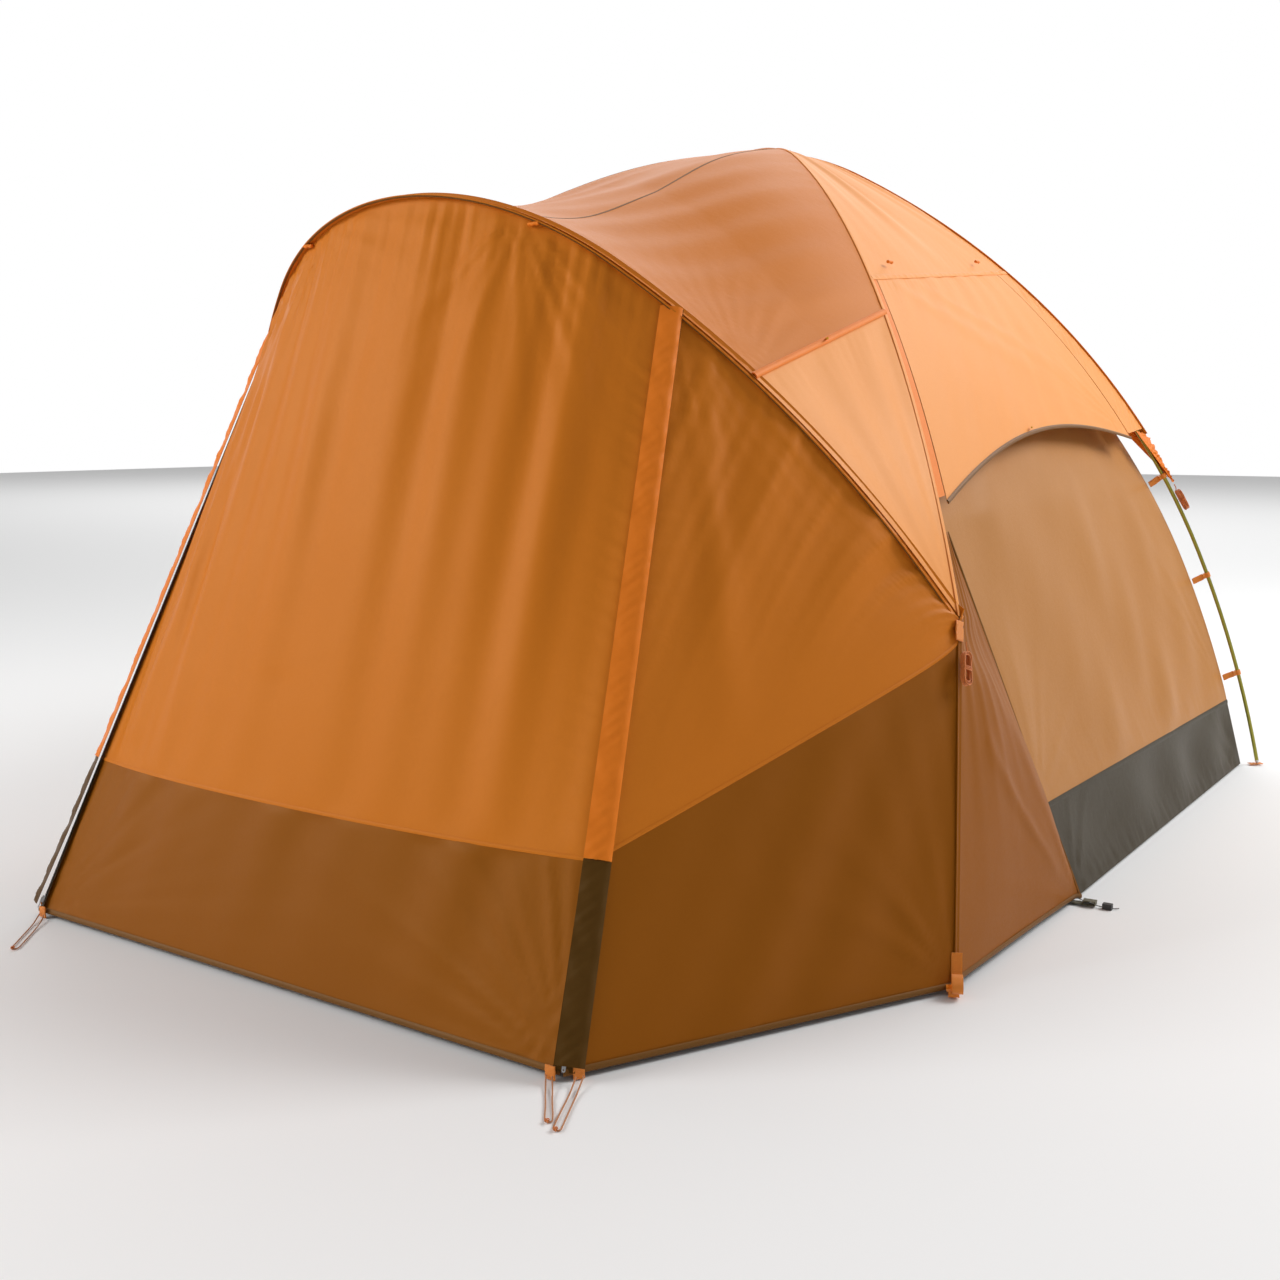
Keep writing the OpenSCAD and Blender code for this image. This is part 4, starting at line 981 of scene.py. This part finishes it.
def side_band_folds(x, y, u, v):
    w, h = x.max(), y.max()
    return (0.0030 * fan(x, y, (w, h), 0.26, 0.30, 95)
            + 0.0026 * pulled(ripple(x - 0.35 * y, 0.12, 99)) * u ** 1.5 * (1 - 0.6 * v)
            + 0.0030 * ripple(x + 0.3 * y, 0.30, 97) * np.sin(math.pi * u)) * edge_fade(u, v, 0.02)


GUSSET_FOOT = np.array([1.216, -0.560, HEM[2]])


def gusset_shape(u, v):
    t = mix(0.06, 1.0, v)
    p = front_fly(mix(HEM_FRONT, LEG_FOOT, t))
    q = mix(front_fly(np.array(HEM_FRONT)), GUSSET_FOOT, t[..., None])
    z = (p[..., 2] + q[..., 2]) / 2
    run = np.linspace(0, HOOP["full"], 800)
    over = hoop_point(np.interp(z / math.cos(HOOP_LEAN), arch_point(HOOP, run)[1], run), 0.012)
    chord = q - p
    along = np.clip(((over - p) * chord).sum(-1) / (chord * chord).sum(-1), 0.04, 0.97)
    proud = over - (p + chord * along[..., None])
    proud = proud * (np.clip((KNEE_Z - z) / 0.12, 0, 1) ** 0.8)[..., None]
    tent = np.where(u < along, u / along, (1 - u) / (1 - along))
    return p + chord * u[..., None] + proud * (np.sin(tent * math.pi / 2) ** 1.1)[..., None]


def gusset_folds(x, y, u, v):
    w, h = x.max(), y.max()
    return (0.0016 * pulled(ripple(x - 0.10 * y, 0.16, 101)) * (1 - v) ** 1.5
            + 0.0024 * fan(x, y, (w, h), 0.34, 0.35, 102)
            + 0.0050 * crease(x, y, (0.85 * w, 0.9 * h), (0.3 * w, 0.5 * h), 0.03)
            + 0.0030 * ripple(x + 0.3 * y, 0.60, 103)) * edge_fade(u, v, 0.02)


panel("vestibule_front", door_shape, ORANGE, "fly_orange", "door", "vestibule_door", door_folds,
      step=0.011)
panel("vestibule_front_band", door_band_shape, BROWN, "fly_brown", "door", "door_band", door_band_folds,
      step=0.013)
for mirror, side_name in SIDES:
    panel("vestibule_wing_" + side_name, side_shape, ORANGE, "fly_orange", "tent",
          "vestibule_side_" + side_name, side_folds, step=0.011, mirror=mirror)
    panel("vestibule_wing_band_" + side_name, side_band_shape, BROWN, "fly_brown", "tent",
          "vestibule_band_" + side_name, side_band_folds, step=0.013, mirror=mirror)
    panel("gusset_cloth_" + side_name, gusset_shape, BROWN, "fly_brown", "tent", "rear_gusset_" + side_name,
          gusset_folds, step=0.013, mirror=mirror)


# ---- seams, bindings, hems and the painted shade line under the hoop sleeve ----
def on_panel(shape, folds, u, v, step=0.004):
    """Points of a folded panel at (u, v), just as panel() raises them."""
    width, height = span_lengths(shape(*np.meshgrid(np.linspace(0, 1, 9), np.linspace(0, 1, 9))))
    here = shape(u, v)
    down = shape(u, np.minimum(v + step, 1)) - shape(u, np.maximum(v - step, 0))
    across = shape(np.minimum(u + step, 1), v) - shape(np.maximum(u - step, 0), v)
    u_all, v_all = np.append(u, 1.0), np.append(v, 1.0)
    rise = folds(u_all * width, v_all * height, u_all, v_all)[:-1]
    return here + unit(np.cross(down, across)) * rise[..., None]


def seam(name, line, side, material, slot, body="tent", width=0.013, out=0.0012, crown=0.0014,
         mirror=False, **more):
    """A raised seam or binding along a line of a right-hand panel, or its mirror image."""
    line = np.asarray(line)
    side = np.broadcast_to(np.asarray(side, float), line.shape)
    if mirror:
        line, side = mirrored(line)[::-1], mirrored(side)[::-1]
    return ribbon(name, line, side, material, slot, body, width=width, out=out, crown=crown, **more)


full_hoop = sided(lambda b: hoop_fly(mix(HOOP["full"], KNEE_HOOP + 0.004, b)), np.linspace(-1, 1, 260))
leg_line = sided(lambda b: front_fly(mix(MAIN["full"], MAIN["leg"], b)), np.linspace(-1, 1, 260))
roof_side = leg_line - full_hoop
seam("hoop_binding", full_hoop, roof_side, ORANGE, "fly_orange", width=0.036, crown=0.007, out=-0.001,
     seg=8, node="hoop_sleeve", wave=lambda s, w: 0.0006 * ripple(s, 0.03, 110) * (1 - w ** 2))
# A dark strip along the lower edge of the hoop sleeve is painted shade: it stands for the shade line in the
# gap under the sleeve.
sleeve_shade_line = full_hoop + unit(roof_side) * -0.015
seam("hoop_sleeve_painted_shade", sleeve_shade_line, roof_side, BINDING_AND_PAINTED_SHADE, "fly_brown", width=0.007, crown=0.002, out=0.0015)
# The front seams and the window cover seams are also in the painted-light orange.
for mirror, side_name in SIDES:
    run = np.linspace(MAIN["full"] - 0.05, MAIN["leg"] + 0.01, 200)
    seam("front_seam_" + side_name, front_fly(run), front_fly(run) - rear_fly(run), PAINTED_LIT_ORANGE, "fly_light",
         mirror=mirror)
    run = np.linspace(MAIN["full"] - 0.05, HEM_REAR, 200)
    seam("rear_seam_" + side_name, rear_fly(run), mirrored(rear_fly(run)) - rear_fly(run), ORANGE,
         "fly_orange", mirror=mirror)
    run = np.linspace(MAIN["leg"] - 0.01, LEG_FOOT, 120)
    seam("leg_seam_" + side_name, front_fly(run), np.broadcast_to([0.2, 1.0, 0.0], (120, 3)), BROWN,
         "fly_brown", mirror=mirror)
    u = np.linspace(0, 1, 120)
    cover_top = side_fly(np.full_like(u, 1.0), u)
    seam("cover_seam_" + side_name, cover_top, cover_top - side_fly(np.full_like(u, 0.9), u), PAINTED_LIT_ORANGE,
         "fly_light", mirror=mirror, width=0.016,
         wave=lambda s, w: 0.0012 * ripple(s, 0.03, 111) * (1 - w ** 2))
    hem = cover_shape(u, np.full_like(u, 0.995))
    seam("cover_hem_" + side_name, hem, hem - cover_shape(u, np.full_like(u, 0.9)), BINDING_AND_PAINTED_SHADE, "fly_brown",
         body="side_cover_" + side_name, mirror=mirror, width=0.011, crown=0.0025)
    vent, below = (mix(front_fly(np.array(VENT - d)), hoop_fly(np.array(VENT_HOOP - d)), u[:, None])
                   for d in (0.0, 0.1))
    seam("vent_hem_" + side_name, vent, vent - below, BRIGHT, "fly_orange", mirror=mirror, width=0.016,
         crown=0.003, out=0.003)
    low = vestibule_hem(u) + np.array([0, 0, 0.004])
    seam("wing_hem_" + side_name, low, low - vestibule_top(u), BINDING_AND_PAINTED_SHADE, "fly_brown", mirror=mirror,
         width=0.012, crown=0.0018)
    band = vestibule_at(u, vestibule_level(u))
    seam("wing_band_seam_" + side_name, band, band - vestibule_top(u), ORANGE, "fly_orange", mirror=mirror,
         width=0.008, crown=0.0008, out=0.0008)
    gusset_low = gusset_shape(u, np.full_like(u, 0.997))
    seam("gusset_hem_" + side_name, gusset_low, gusset_low - gusset_shape(u, np.full_like(u, 0.9)), BINDING_AND_PAINTED_SHADE,
         "fly_brown", mirror=mirror, width=0.012, crown=0.0018)
    edge = gusset_shape(np.full_like(u, 0.997), u)
    seam("gusset_edge_" + side_name, edge, edge - gusset_shape(np.full_like(u, 0.9), u), BINDING_AND_PAINTED_SHADE,
         "fly_brown", mirror=mirror, width=0.010, crown=0.0018)

for sign, side_name in ((1, "right"), (-1, "left")):
    v = np.linspace(0.01, 0.985, 140)
    u = 0.5 + sign * mix(0.04, 0.17, v)
    rib = on_panel(roof_shape, roof_folds, u, v)
    beside = on_panel(roof_shape, roof_folds, u + 0.01, v)
    seam("roof_seam_" + side_name, rib, beside - rib, BINDING_AND_PAINTED_SHADE, "fly_brown", width=0.006, crown=0.0008,
         out=0.0014)

w = np.linspace(-1, 1, 160) * DOOR_W
hem_line = front_at(w, np.full_like(w, 0.997))
seam("door_hem", hem_line, hem_line - front_at(w, np.full_like(w, 0.9)), BINDING_AND_PAINTED_SHADE, "fly_brown", body="door",
     width=0.012, crown=0.0018)
band_line = front_at(w, front_level(w, BAND_Z))
seam("door_band_seam", band_line, band_line - front_at(w, front_level(w, BAND_Z + 0.1)), ORANGE,
     "fly_orange", body="door", width=0.008, crown=0.0008, out=0.0008)
hem_u = np.linspace(0, 1, 200)
back_hem = rear_fly_shape(hem_u, np.full_like(hem_u, 0.996))
seam("back_hem", back_hem, back_hem - rear_fly_shape(hem_u, np.full_like(hem_u, 0.9)), BINDING_AND_PAINTED_SHADE, "fly_brown",
     width=0.012, crown=0.002)


def cap_shape(u, v):
    """A round reinforcement over the crossing, cut from the sphere that the crown makes."""
    a, b = (2 * u - 1), (2 * v - 1)
    x = a * np.sqrt(1 - b * b / 2)
    y = -b * np.sqrt(1 - a * a / 2)
    reach = 0.080
    far = x * x + y * y
    z = CROWN_Z + FLY_GAP + 0.0018 - far * reach ** 2 / 1.41 + 0.010 * (1 - far) ** 2
    return np.stack([x * reach, y * reach, z], -1)


panel("crown_patch", cap_shape, ORANGE, "fly_orange", "tent", "fly_crown_patch",
      lambda x, y, u, v: 0.0006 * ripple(x + y, 0.02, 120), step=0.004, declare=False)


# ---- zips and storm flaps ----
ZIP_DIR = unit(ZIP_TOP - HEM)
ZIP_OUT = unit(np.cross(unit(HEM - mirrored(HEM)), ZIP_DIR)
               + np.cross(unit(vestibule_hem(np.array(0.2)) - HEM), ZIP_DIR))
ZIP_ACROSS = unit(np.cross(ZIP_OUT, ZIP_DIR))


def zip_point(across, out, up):
    """Metres across towards the door, outwards and up from the foot of the right-hand zip."""
    across, out, up = (np.asarray(k)[..., None] for k in (across, out, up))
    return HEM + ZIP_ACROSS * across + ZIP_OUT * out + ZIP_DIR * up


FLAP_SPLIT = (BAND_Z - HEM[2]) / ZIP_DIR[2]
FLAP_TOP = ZIP_LEN - 0.004


def flap_shape(low, high):
    def shape(u, v):
        up = mix(high, low, v)
        lift = 0.0100 + 0.003 * np.sin(math.pi * u) + 0.006 * np.exp(-(up / 0.16) ** 2)
        middle = mix(-0.0105, 0.0045, up / ZIP_LEN)
        half = mix(0.027, 0.0235, up / ZIP_LEN)
        across = middle + half * (1 - 2 * u)
        tuck = -0.006 * np.clip((u - 0.80) / 0.20, 0, 1) ** 2
        return zip_point(across, lift + tuck, up)
    return shape


def flap_folds(x, y, u, v):
    crush = 0.0011 * ripple(y + 0.9 * x, 0.034, 131) + 0.0016 * ripple(y - 0.5 * x, 0.11, 132)
    return crush * np.sin(math.pi * u) ** 0.8


def tape(name, near, far, body, mirror):
    """Woven zip tape from the coil to under the edge of the cloth it is sewn to."""
    up = np.linspace(0.006, ZIP_LEN - 0.004, 180)
    line = zip_point(np.full_like(up, (near + far) / 2), np.full_like(up, -0.0015), up)
    side = np.broadcast_to(ZIP_ACROSS, line.shape)
    if mirror:
        line, side = mirrored(line)[::-1], mirrored(side)[::-1]
    return ribbon(name, line, side, UMBER, "fly_brown", body, width=abs(far - near), thick=0.0008, seg=3)


for mirror, side_name in SIDES:
    tape("zip_tape_door_" + side_name, 0.0012, 0.0200, "door", mirror)
    tape("zip_tape_wing_" + side_name, -0.0012, -0.0200, "tent", mirror)
    flap = "storm_flap_" + side_name
    panel("storm_flap_upper_" + side_name, flap_shape(FLAP_SPLIT, FLAP_TOP), BRIGHT, "fly_light", "door",
          flap, flap_folds, step=0.006, mirror=mirror)
    panel("storm_flap_lower_" + side_name, flap_shape(0.016, FLAP_SPLIT - 0.001), UMBER, "fly_brown",
          "door", flap, flap_folds, step=0.006, mirror=mirror)

# ---- inner tent ----
FLOOR_X, FLOOR_FRONT, FLOOR_REAR, TUB_BASE = 1.200, -0.545, 1.165, 0.005
SEAM_SPLIT, REAR_SPLIT, TUB_T = 0.6, 0.88, 0.9
HANG_IN = front_point(np.array(HEM_FRONT), -BODY_GAP)
REAR_LOW = length_at(MAIN, 0.285)
BODY_TOP = MAIN["full"] - 0.020


def body_front_seam(t):
    high = front_point(mix(BODY_TOP, HEM_FRONT, np.minimum(t / SEAM_SPLIT, 1)), -BODY_GAP)
    low = mix(HANG_IN, np.array([FLOOR_X, FLOOR_FRONT, TUB_BASE]),
              np.clip((t - SEAM_SPLIT) / (1 - SEAM_SPLIT), 0, 1)[..., None])
    return np.where((t < SEAM_SPLIT)[..., None], high, low)


def body_rear_seam(t):
    high = rear_point(mix(BODY_TOP, REAR_LOW, np.minimum(t / REAR_SPLIT, 1)), -BODY_GAP)
    corner = np.array([FLOOR_X, FLOOR_REAR, TUB_BASE])
    low = mix(rear_point(np.array(REAR_LOW), -BODY_GAP), corner,
              np.clip((t - REAR_SPLIT) / (1 - REAR_SPLIT), 0, 1)[..., None])
    return np.where((t < REAR_SPLIT)[..., None], high, low)


def wall_shape(left, right, t0, t1):
    def shape(u, v):
        t = mix(t0, t1, v)
        return mix(left(t), right(t), u[..., None])
    return shape


def left_of(seam_line):
    return lambda t: mirrored(seam_line(t))


def wall_folds(seed):
    def folds(x, y, u, v):
        w, h = x.max(), y.max()
        slow = ripple(x - 0.3 * y, 0.75, seed + 5)
        return (0.0042 * ripple(x + 0.55 * y, 0.34, seed) * v * (0.6 + 0.4 * slow)
                + 0.0022 * gathers(x, h - y, 0.07, 0.06, seed + 1) + 0.0030 * slow
                + 0.0032 * fan(x, y, (w, h), 0.24, 0.30, seed + 2)
                + 0.0028 * fan(x, y, (0, h), 0.26, 0.3, seed + 3)
                + 0.0012 * gathers(y, w - x, 0.07, 0.08, seed + 4)) * edge_fade(u, v, 0.02)
    return folds


def tub_folds(seed):
    def folds(x, y, u, v):
        w, h = x.max(), y.max()
        sag = -0.010 * np.sin(math.pi * np.clip(v, 0, 1)) * (0.5 + 0.5 * ripple(x, 0.5, seed))
        return (sag + 0.006 * crease(x, y, (w * 0.99, h * 0.98), (w * 0.86, 0.0), 0.03)
                + 0.005 * fan(x, y, (w, h), 0.25, 0.25, seed + 1)
                + 0.005 * fan(x, y, (0, h), 0.25, 0.25, seed + 2)
                + 0.003 * gathers(x, h - y, 0.06, 0.04, seed + 3)) * edge_fade(u, v, 0.03)
    return folds


SIDE_WALL = (body_front_seam, body_rear_seam)
BACK_WALL = (body_rear_seam, left_of(body_rear_seam))
FRONT_WALL = (left_of(body_front_seam), body_front_seam)


def wall(name, sides, node, seed, mirror=False):
    panel(name, wall_shape(*sides, 0.0, TUB_T), TAN, "body_tan", "tent", node, wall_folds(seed),
          mirror=mirror)


def tub(name, sides, seed, mirror=False):
    panel(name, wall_shape(*sides, TUB_T, 1.0), OLIVE, "floor_olive", "tent", "tub_wall", tub_folds(seed),
          mirror=mirror)


for mirror, side_name in SIDES:
    wall("body_wall_" + side_name, SIDE_WALL, "body_side_" + side_name, 141, mirror)
    tub("tub_wall_" + side_name, SIDE_WALL, 151, mirror)
wall("body_wall_back", BACK_WALL, "body_rear", 161)
tub("tub_wall_back", BACK_WALL, 171)
tub("tub_wall_front", FRONT_WALL, 181)


def tub_seam(name, left, right, mirror=False):
    """Taped seam between an inner wall and the tub."""
    u = np.linspace(0, 1, 120)
    t = np.full_like(u, TUB_T)
    line = mix(left(t), right(t), u[:, None])
    above = mix(left(t - 0.05), right(t - 0.05), u[:, None])
    seam(name, line, line - above, OLIVE, "floor_olive", width=0.014, crown=0.0012, out=0.0008,
         mirror=mirror)


tub_seam("tub_seam_right", *SIDE_WALL)
tub_seam("tub_seam_left", *SIDE_WALL, mirror=True)
tub_seam("tub_seam_back", *BACK_WALL)
tub_seam("tub_seam_front", *FRONT_WALL)


def floor_shape(u, v):
    x = mix(-FLOOR_X + 0.004, FLOOR_X - 0.004, u)
    y = mix(FLOOR_REAR - 0.004, FLOOR_FRONT + 0.004, v)
    return np.stack([x, y, np.full_like(x, 0.0020)], -1)


def floor_folds(x, y, u, v):
    return (0.0012 * np.maximum(0, ripple(x + 0.3 * y, 0.30, 191))
            + 0.0008 * np.maximum(0, ripple(y, 0.22, 192)))


panel("floor_cloth", floor_shape, OLIVE, "floor_olive", "tent", "floor_sheet", floor_folds, step=0.02)

# the front wall is cut round the door, which is its own panel
DOOR_HALF, DOOR_LOW, DOOR_ROUND = 0.350, 0.262, 0.980


def cut_by_door(obj, keep_inside, grow):
    """Keeps what lies inside, or outside, the D-shaped door outline, seen square from the front."""
    bm = bmesh.new()
    bm.from_mesh(obj.data)
    drop = []
    half = DOOR_HALF + grow
    for face in bm.faces:
        c = face.calc_center_median()
        inside = abs(c.x) < half and c.z > DOOR_LOW - grow and (
            c.z < DOOR_ROUND or math.hypot(c.x, c.z - DOOR_ROUND) < half)
        if inside != keep_inside:
            drop.append(face)
    bmesh.ops.delete(bm, geom=drop, context="FACES")
    bm.to_mesh(obj.data)
    bm.free()


def snap_to_outline(p, grow):
    """Pulls grid points that lie near the door outline onto it, so that the cut runs true."""
    half = DOOR_HALF + grow
    x, z = p[..., 0], p[..., 2]
    low = DOOR_LOW - grow
    near = 0.009
    straight = (z < DOOR_ROUND) & (z > low - near)
    x = np.where(straight & (np.abs(np.abs(x) - half) < near), np.sign(x) * half, x)
    far = np.hypot(x, z - DOOR_ROUND)
    ring = (z >= DOOR_ROUND) & (np.abs(far - half) < near)
    scale = np.where(ring, half / np.maximum(far, 1e-6), 1.0)
    new_x = np.where(ring, x * scale, x)
    new_z = np.where(ring, DOOR_ROUND + (z - DOOR_ROUND) * scale, z)
    flat = (np.abs(z - low) < near) & (np.abs(new_x) < half + near)
    new_z = np.where(flat, low, new_z)
    return np.stack([new_x, p[..., 1], new_z], -1)


def front_panel(name, body, node, keep_inside, grow):
    cols, rows = 190, 170
    u, v = np.meshgrid(np.linspace(0, 1, cols), np.linspace(0, 1, rows))
    p = wall_shape(*FRONT_WALL, 0.0, TUB_T)(u, v)
    width, height = span_lengths(p)
    rise = wall_folds(201)(u * width, v * height, u, v)
    p = snap_to_outline(p + surface_normals(p) * rise[..., None], grow)
    obj = link(name, grid_mesh(name, row(p), TAN, (width, height)))
    cut_by_door(obj, keep_inside, grow)
    thicken(obj, CLOTH)
    return assign(obj, "body_tan", body, node)


front_piece = front_panel("body_wall_front", "tent", "body_front", False, 0.0)
door_piece = front_panel("inner_door_cloth", "inner_door", "inner_door", True, -0.004)


# ---- fly corners, webbing and elastic ----
def corner_tab_shape(u, v):
    top = side_fly(np.full_like(u, 1.97), np.full_like(u, 0.955))
    back = rear_fly_shape(np.full_like(u, 0.04), np.full_like(u, 0.99))
    low = rear_fly(np.full(u.shape, CORNER_LOW))
    ridge = rear_fly(mix(HEM_REAR, CORNER_LOW, v))
    left = mix(top, low, v[..., None])
    right = mix(back, low, v[..., None])
    a = 2 * u - 1
    flank = np.where((a < 0)[..., None], left, right)
    return mix(ridge, flank, np.abs(a)[..., None])


def corner_folds(x, y, u, v):
    crush = 0.004 * ripple(y + x, 0.035, 211) + 0.003 * ripple(y - 0.7 * x, 0.05, 212)
    return crush * np.sin(math.pi * u)


for mirror, side_name in SIDES:
    panel("fly_corner_" + side_name, corner_tab_shape, BRIGHT, "webbing_orange", "tent", "fly_corner_tabs",
          corner_folds, step=0.007, mirror=mirror)


def islands(bm):
    """Groups of vertices that hang together."""
    left = set(bm.verts)
    while left:
        group, todo = [], [left.pop()]
        while todo:
            vert = todo.pop()
            group.append(vert)
            for edge in vert.link_edges:
                other = edge.other_vert(vert)
                if other in left:
                    left.remove(other)
                    todo.append(other)
        yield group


def lay_weave(bm, groups):
    """Map every strip along its own long axis, in metres."""
    layer = bm.loops.layers.uv.new("Cut")
    for group in groups:
        p = np.array([v.co[:] for v in group])
        centre = p.mean(0)
        axes = np.linalg.eigh(np.cov((p - centre).T))[1]
        place = {v: ((np.array(v.co) - centre) @ axes) for v in group}
        for v in group:
            for loop in v.link_loops:
                loop[layer].uv = (place[v][1], place[v][2])


def node_bmesh(node):
    """A CAD node's mesh in the part's frame, with its doubled points merged."""
    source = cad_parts[node]
    bm = bmesh.new()
    bm.from_mesh(source.data)
    bm.transform(source.matrix_world)
    bmesh.ops.remove_doubles(bm, verts=bm.verts, dist=1e-6)
    return bm


def soften(name, node, material, slot, seed, edge=0.0004, wave=0.0004, length=0.006):
    """Webbing or cloth laid over a node's shape, with rounded edges and a slight wave."""
    bm = node_bmesh(node)
    flat = [e for e in bm.edges if len(e.link_faces) == 2 and e.calc_face_angle() < 0.02]
    bmesh.ops.dissolve_edges(bm, edges=flat, use_verts=False)
    sharp = [e for e in bm.edges if len(e.link_faces) == 2 and e.calc_face_angle() > 0.6]
    bmesh.ops.bevel(bm, geom=sharp, offset=edge, segments=2, profile=0.5, affect="EDGES", material=-1,
                    clamp_overlap=True)
    bmesh.ops.triangulate(bm, faces=bm.faces)
    for _ in range(4):
        long = [e for e in bm.edges if e.calc_length() > length]
        if not long or len(bm.verts) > 60000:
            break
        bmesh.ops.subdivide_edges(bm, edges=long, cuts=1)
        bmesh.ops.triangulate(bm, faces=[f for f in bm.faces if len(f.verts) > 4])
    bm.normal_update()
    lay_weave(bm, list(islands(bm)))
    for v in bm.verts:
        v.co += v.normal * (wave * float(ripple(v.co.x + 0.7 * v.co.y - v.co.z, 0.022, seed)))
    assign(from_bmesh(name, bm, material, 50), slot, "tent", node)


SOFTENED = (
    ("clip_webbing", "clip_tabs", STRAP, "webbing_orange"),
    ("front_foot_webbing", "front_foot_straps", STRAP, "webbing_orange"),
    ("rear_foot_webbing", "rear_foot_straps", STRAP, "webbing_orange"),
    ("hoop_foot_webbing", "hoop_foot_straps", STRAP_OLIVE, "webbing_olive"),
    ("guy_webbing", "guy_tabs", STRAP, "webbing_orange"),
    ("stake_webbing", "stake_tabs", STRAP, "webbing_orange"),
    ("cover_loops", "cover_toggles", BRIGHT, "fly_orange"),
    ("door_loops", "door_toggles", BRIGHT, "fly_orange"),
)
for seed, made in enumerate(SOFTENED, 301):
    soften(*made, seed)


def centres(node):
    """Middles of the separate solids of a node, in the part's frame."""
    bm = node_bmesh(node)
    found = []
    for group in islands(bm):
        p = np.array([v.co[:] for v in group])
        found.append((p.min(0) + p.max(0)) / 2)
    bm.free()
    return found


def lock_cord(name, lock, sign):
    """Thin elastic from the strap at a hoop foot, through its cord lock, to a knot."""
    foot = row((sign * HOOP_FOOT_X, -HOOP_Y, 0.010))
    away = unit(lock - foot)
    side = np.array([-away[1], away[0], 0.0])
    low = np.array([lock[0], lock[1], 0.0032])
    points = [foot + away * 0.012 + np.array([0, 0, 0.006]), mix(foot, low, 0.40) + side * 0.007,
              mix(foot, low, 0.75) - side * 0.003, low, low + away * 0.016 + side * 0.004,
              low + away * 0.024 + side * 0.012]
    points = [np.array([p[0], p[1], max(p[2], 0.0022)]) for p in points]
    path = rounded(points, 6)
    piece = tube(name, path, 0.0011, ELASTIC, "elastic_black", "tent", sides=8, in_row=True)
    path_length(path)


for centre in centres("cord_locks"):
    sign = 1 if centre[0] > 0 else -1
    lock_cord("hoop_foot_elastic_" + ("right" if sign > 0 else "left"), centre, sign)


def foot_loop(name, mirror):
    """Webbing down a front leg that folds out under its tensioner and ends in a loose tail."""
    origin, out, side, up = leg_axes(True, 0.075)
    foot = leg_axes(True, LEG_FOOT)[0]
    level = unit(np.array([out[0], out[1], 0.0]))
    upright = np.array([0.0, 0.0, 1.0])
    loop = ((0.009, 0.004), (0.022, -0.009), (0.040, -0.012), (0.052, -0.005), (0.050, 0.010),
            (0.036, 0.020), (0.020, 0.022))
    line = rounded([origin + out * 0.004, mix(origin, foot, 0.5) + out * 0.005,
                    *(foot + level * a + upright * b for a, b in loop)], 6)
    line[:, 2] = np.maximum(line[:, 2], 0.0015)
    across = np.broadcast_to(np.array([-level[1], level[0], 0.0]), line.shape)
    if mirror:
        line, across = mirrored(line), mirrored(across)
    ribbon(name, line, across, STRAP, "webbing_orange", "tent", width=0.022, thick=0.0016, seg=4,
           wave=lambda s, w: 0.0006 * ripple(s, 0.03, 321) * (1 - w ** 2))


for mirror, side_name in SIDES:
    foot_loop("front_foot_loop_" + side_name, mirror)


# ---- stage and light ----
def add_stage():
    bm = bmesh.new()
    bmesh.ops.create_grid(bm, x_segments=1, y_segments=1, size=30.0)
    material, tree, shader = principled("floor paint", (0.86, 0.86, 0.86), Roughness=0.9)
    floor = from_bmesh("studio_floor", bm, material)
    floor.data.transform(Matrix.Translation((0, 0, -0.0006)))


def add_light(name, place, target, size, power, colour=(1, 1, 1)):
    data = bpy.data.lights.new(name, "AREA")
    data.shape = "RECTANGLE"
    data.size, data.size_y = size
    data.energy = power
    data.color = colour
    light = bpy.data.objects.new(name, data)
    light.location = place
    direction = Vector(target) - Vector(place)
    light.rotation_mode = "QUATERNION"
    light.rotation_quaternion = direction.to_track_quat("-Z", "Y")
    bpy.context.scene.collection.objects.link(light)


def add_world():
    world = bpy.data.worlds.new("studio")
    bpy.context.scene.world = world
    world.use_nodes = True
    tree = world.node_tree
    background = tree.nodes["Background"]
    background.inputs["Color"].default_value = (1.0, 1.0, 1.0, 1)
    place = tree.nodes.new("ShaderNodeTexCoord")
    facing = add(tree, "ShaderNodeVectorMath", operation="DOT_PRODUCT")
    facing.inputs[1].default_value = (-0.568, 0.823, 0.0)
    tree.links.new(place.outputs["Generated"], facing.inputs[0])
    lit = add(tree, "ShaderNodeMapRange", interpolation_type="SMOOTHSTEP")
    tree.links.new(facing.outputs["Value"], lit.inputs["Value"])
    for label, value in (("From Min", 0.35), ("From Max", 0.75), ("To Min", 0.34), ("To Max", 1.0)):
        lit.inputs[label].default_value = value
    tree.links.new(lit.outputs["Result"], background.inputs["Strength"])


add_stage()
add_world()
add_light("key", (5.0, 4.0, 5.5), (0, 0, 0.8), (3.5, 3.5), 430)
add_light("backdrop", (-8.0, 13.0, 9.0), (-8.0, 13.0, 0.0), (26.0, 12.0), 1200)
add_light("fill", (-4.5, -6.0, 4.0), (0, -0.5, 0.8), (4.0, 3.0), 300)
bpy.context.scene.view_settings.view_transform = "Standard"
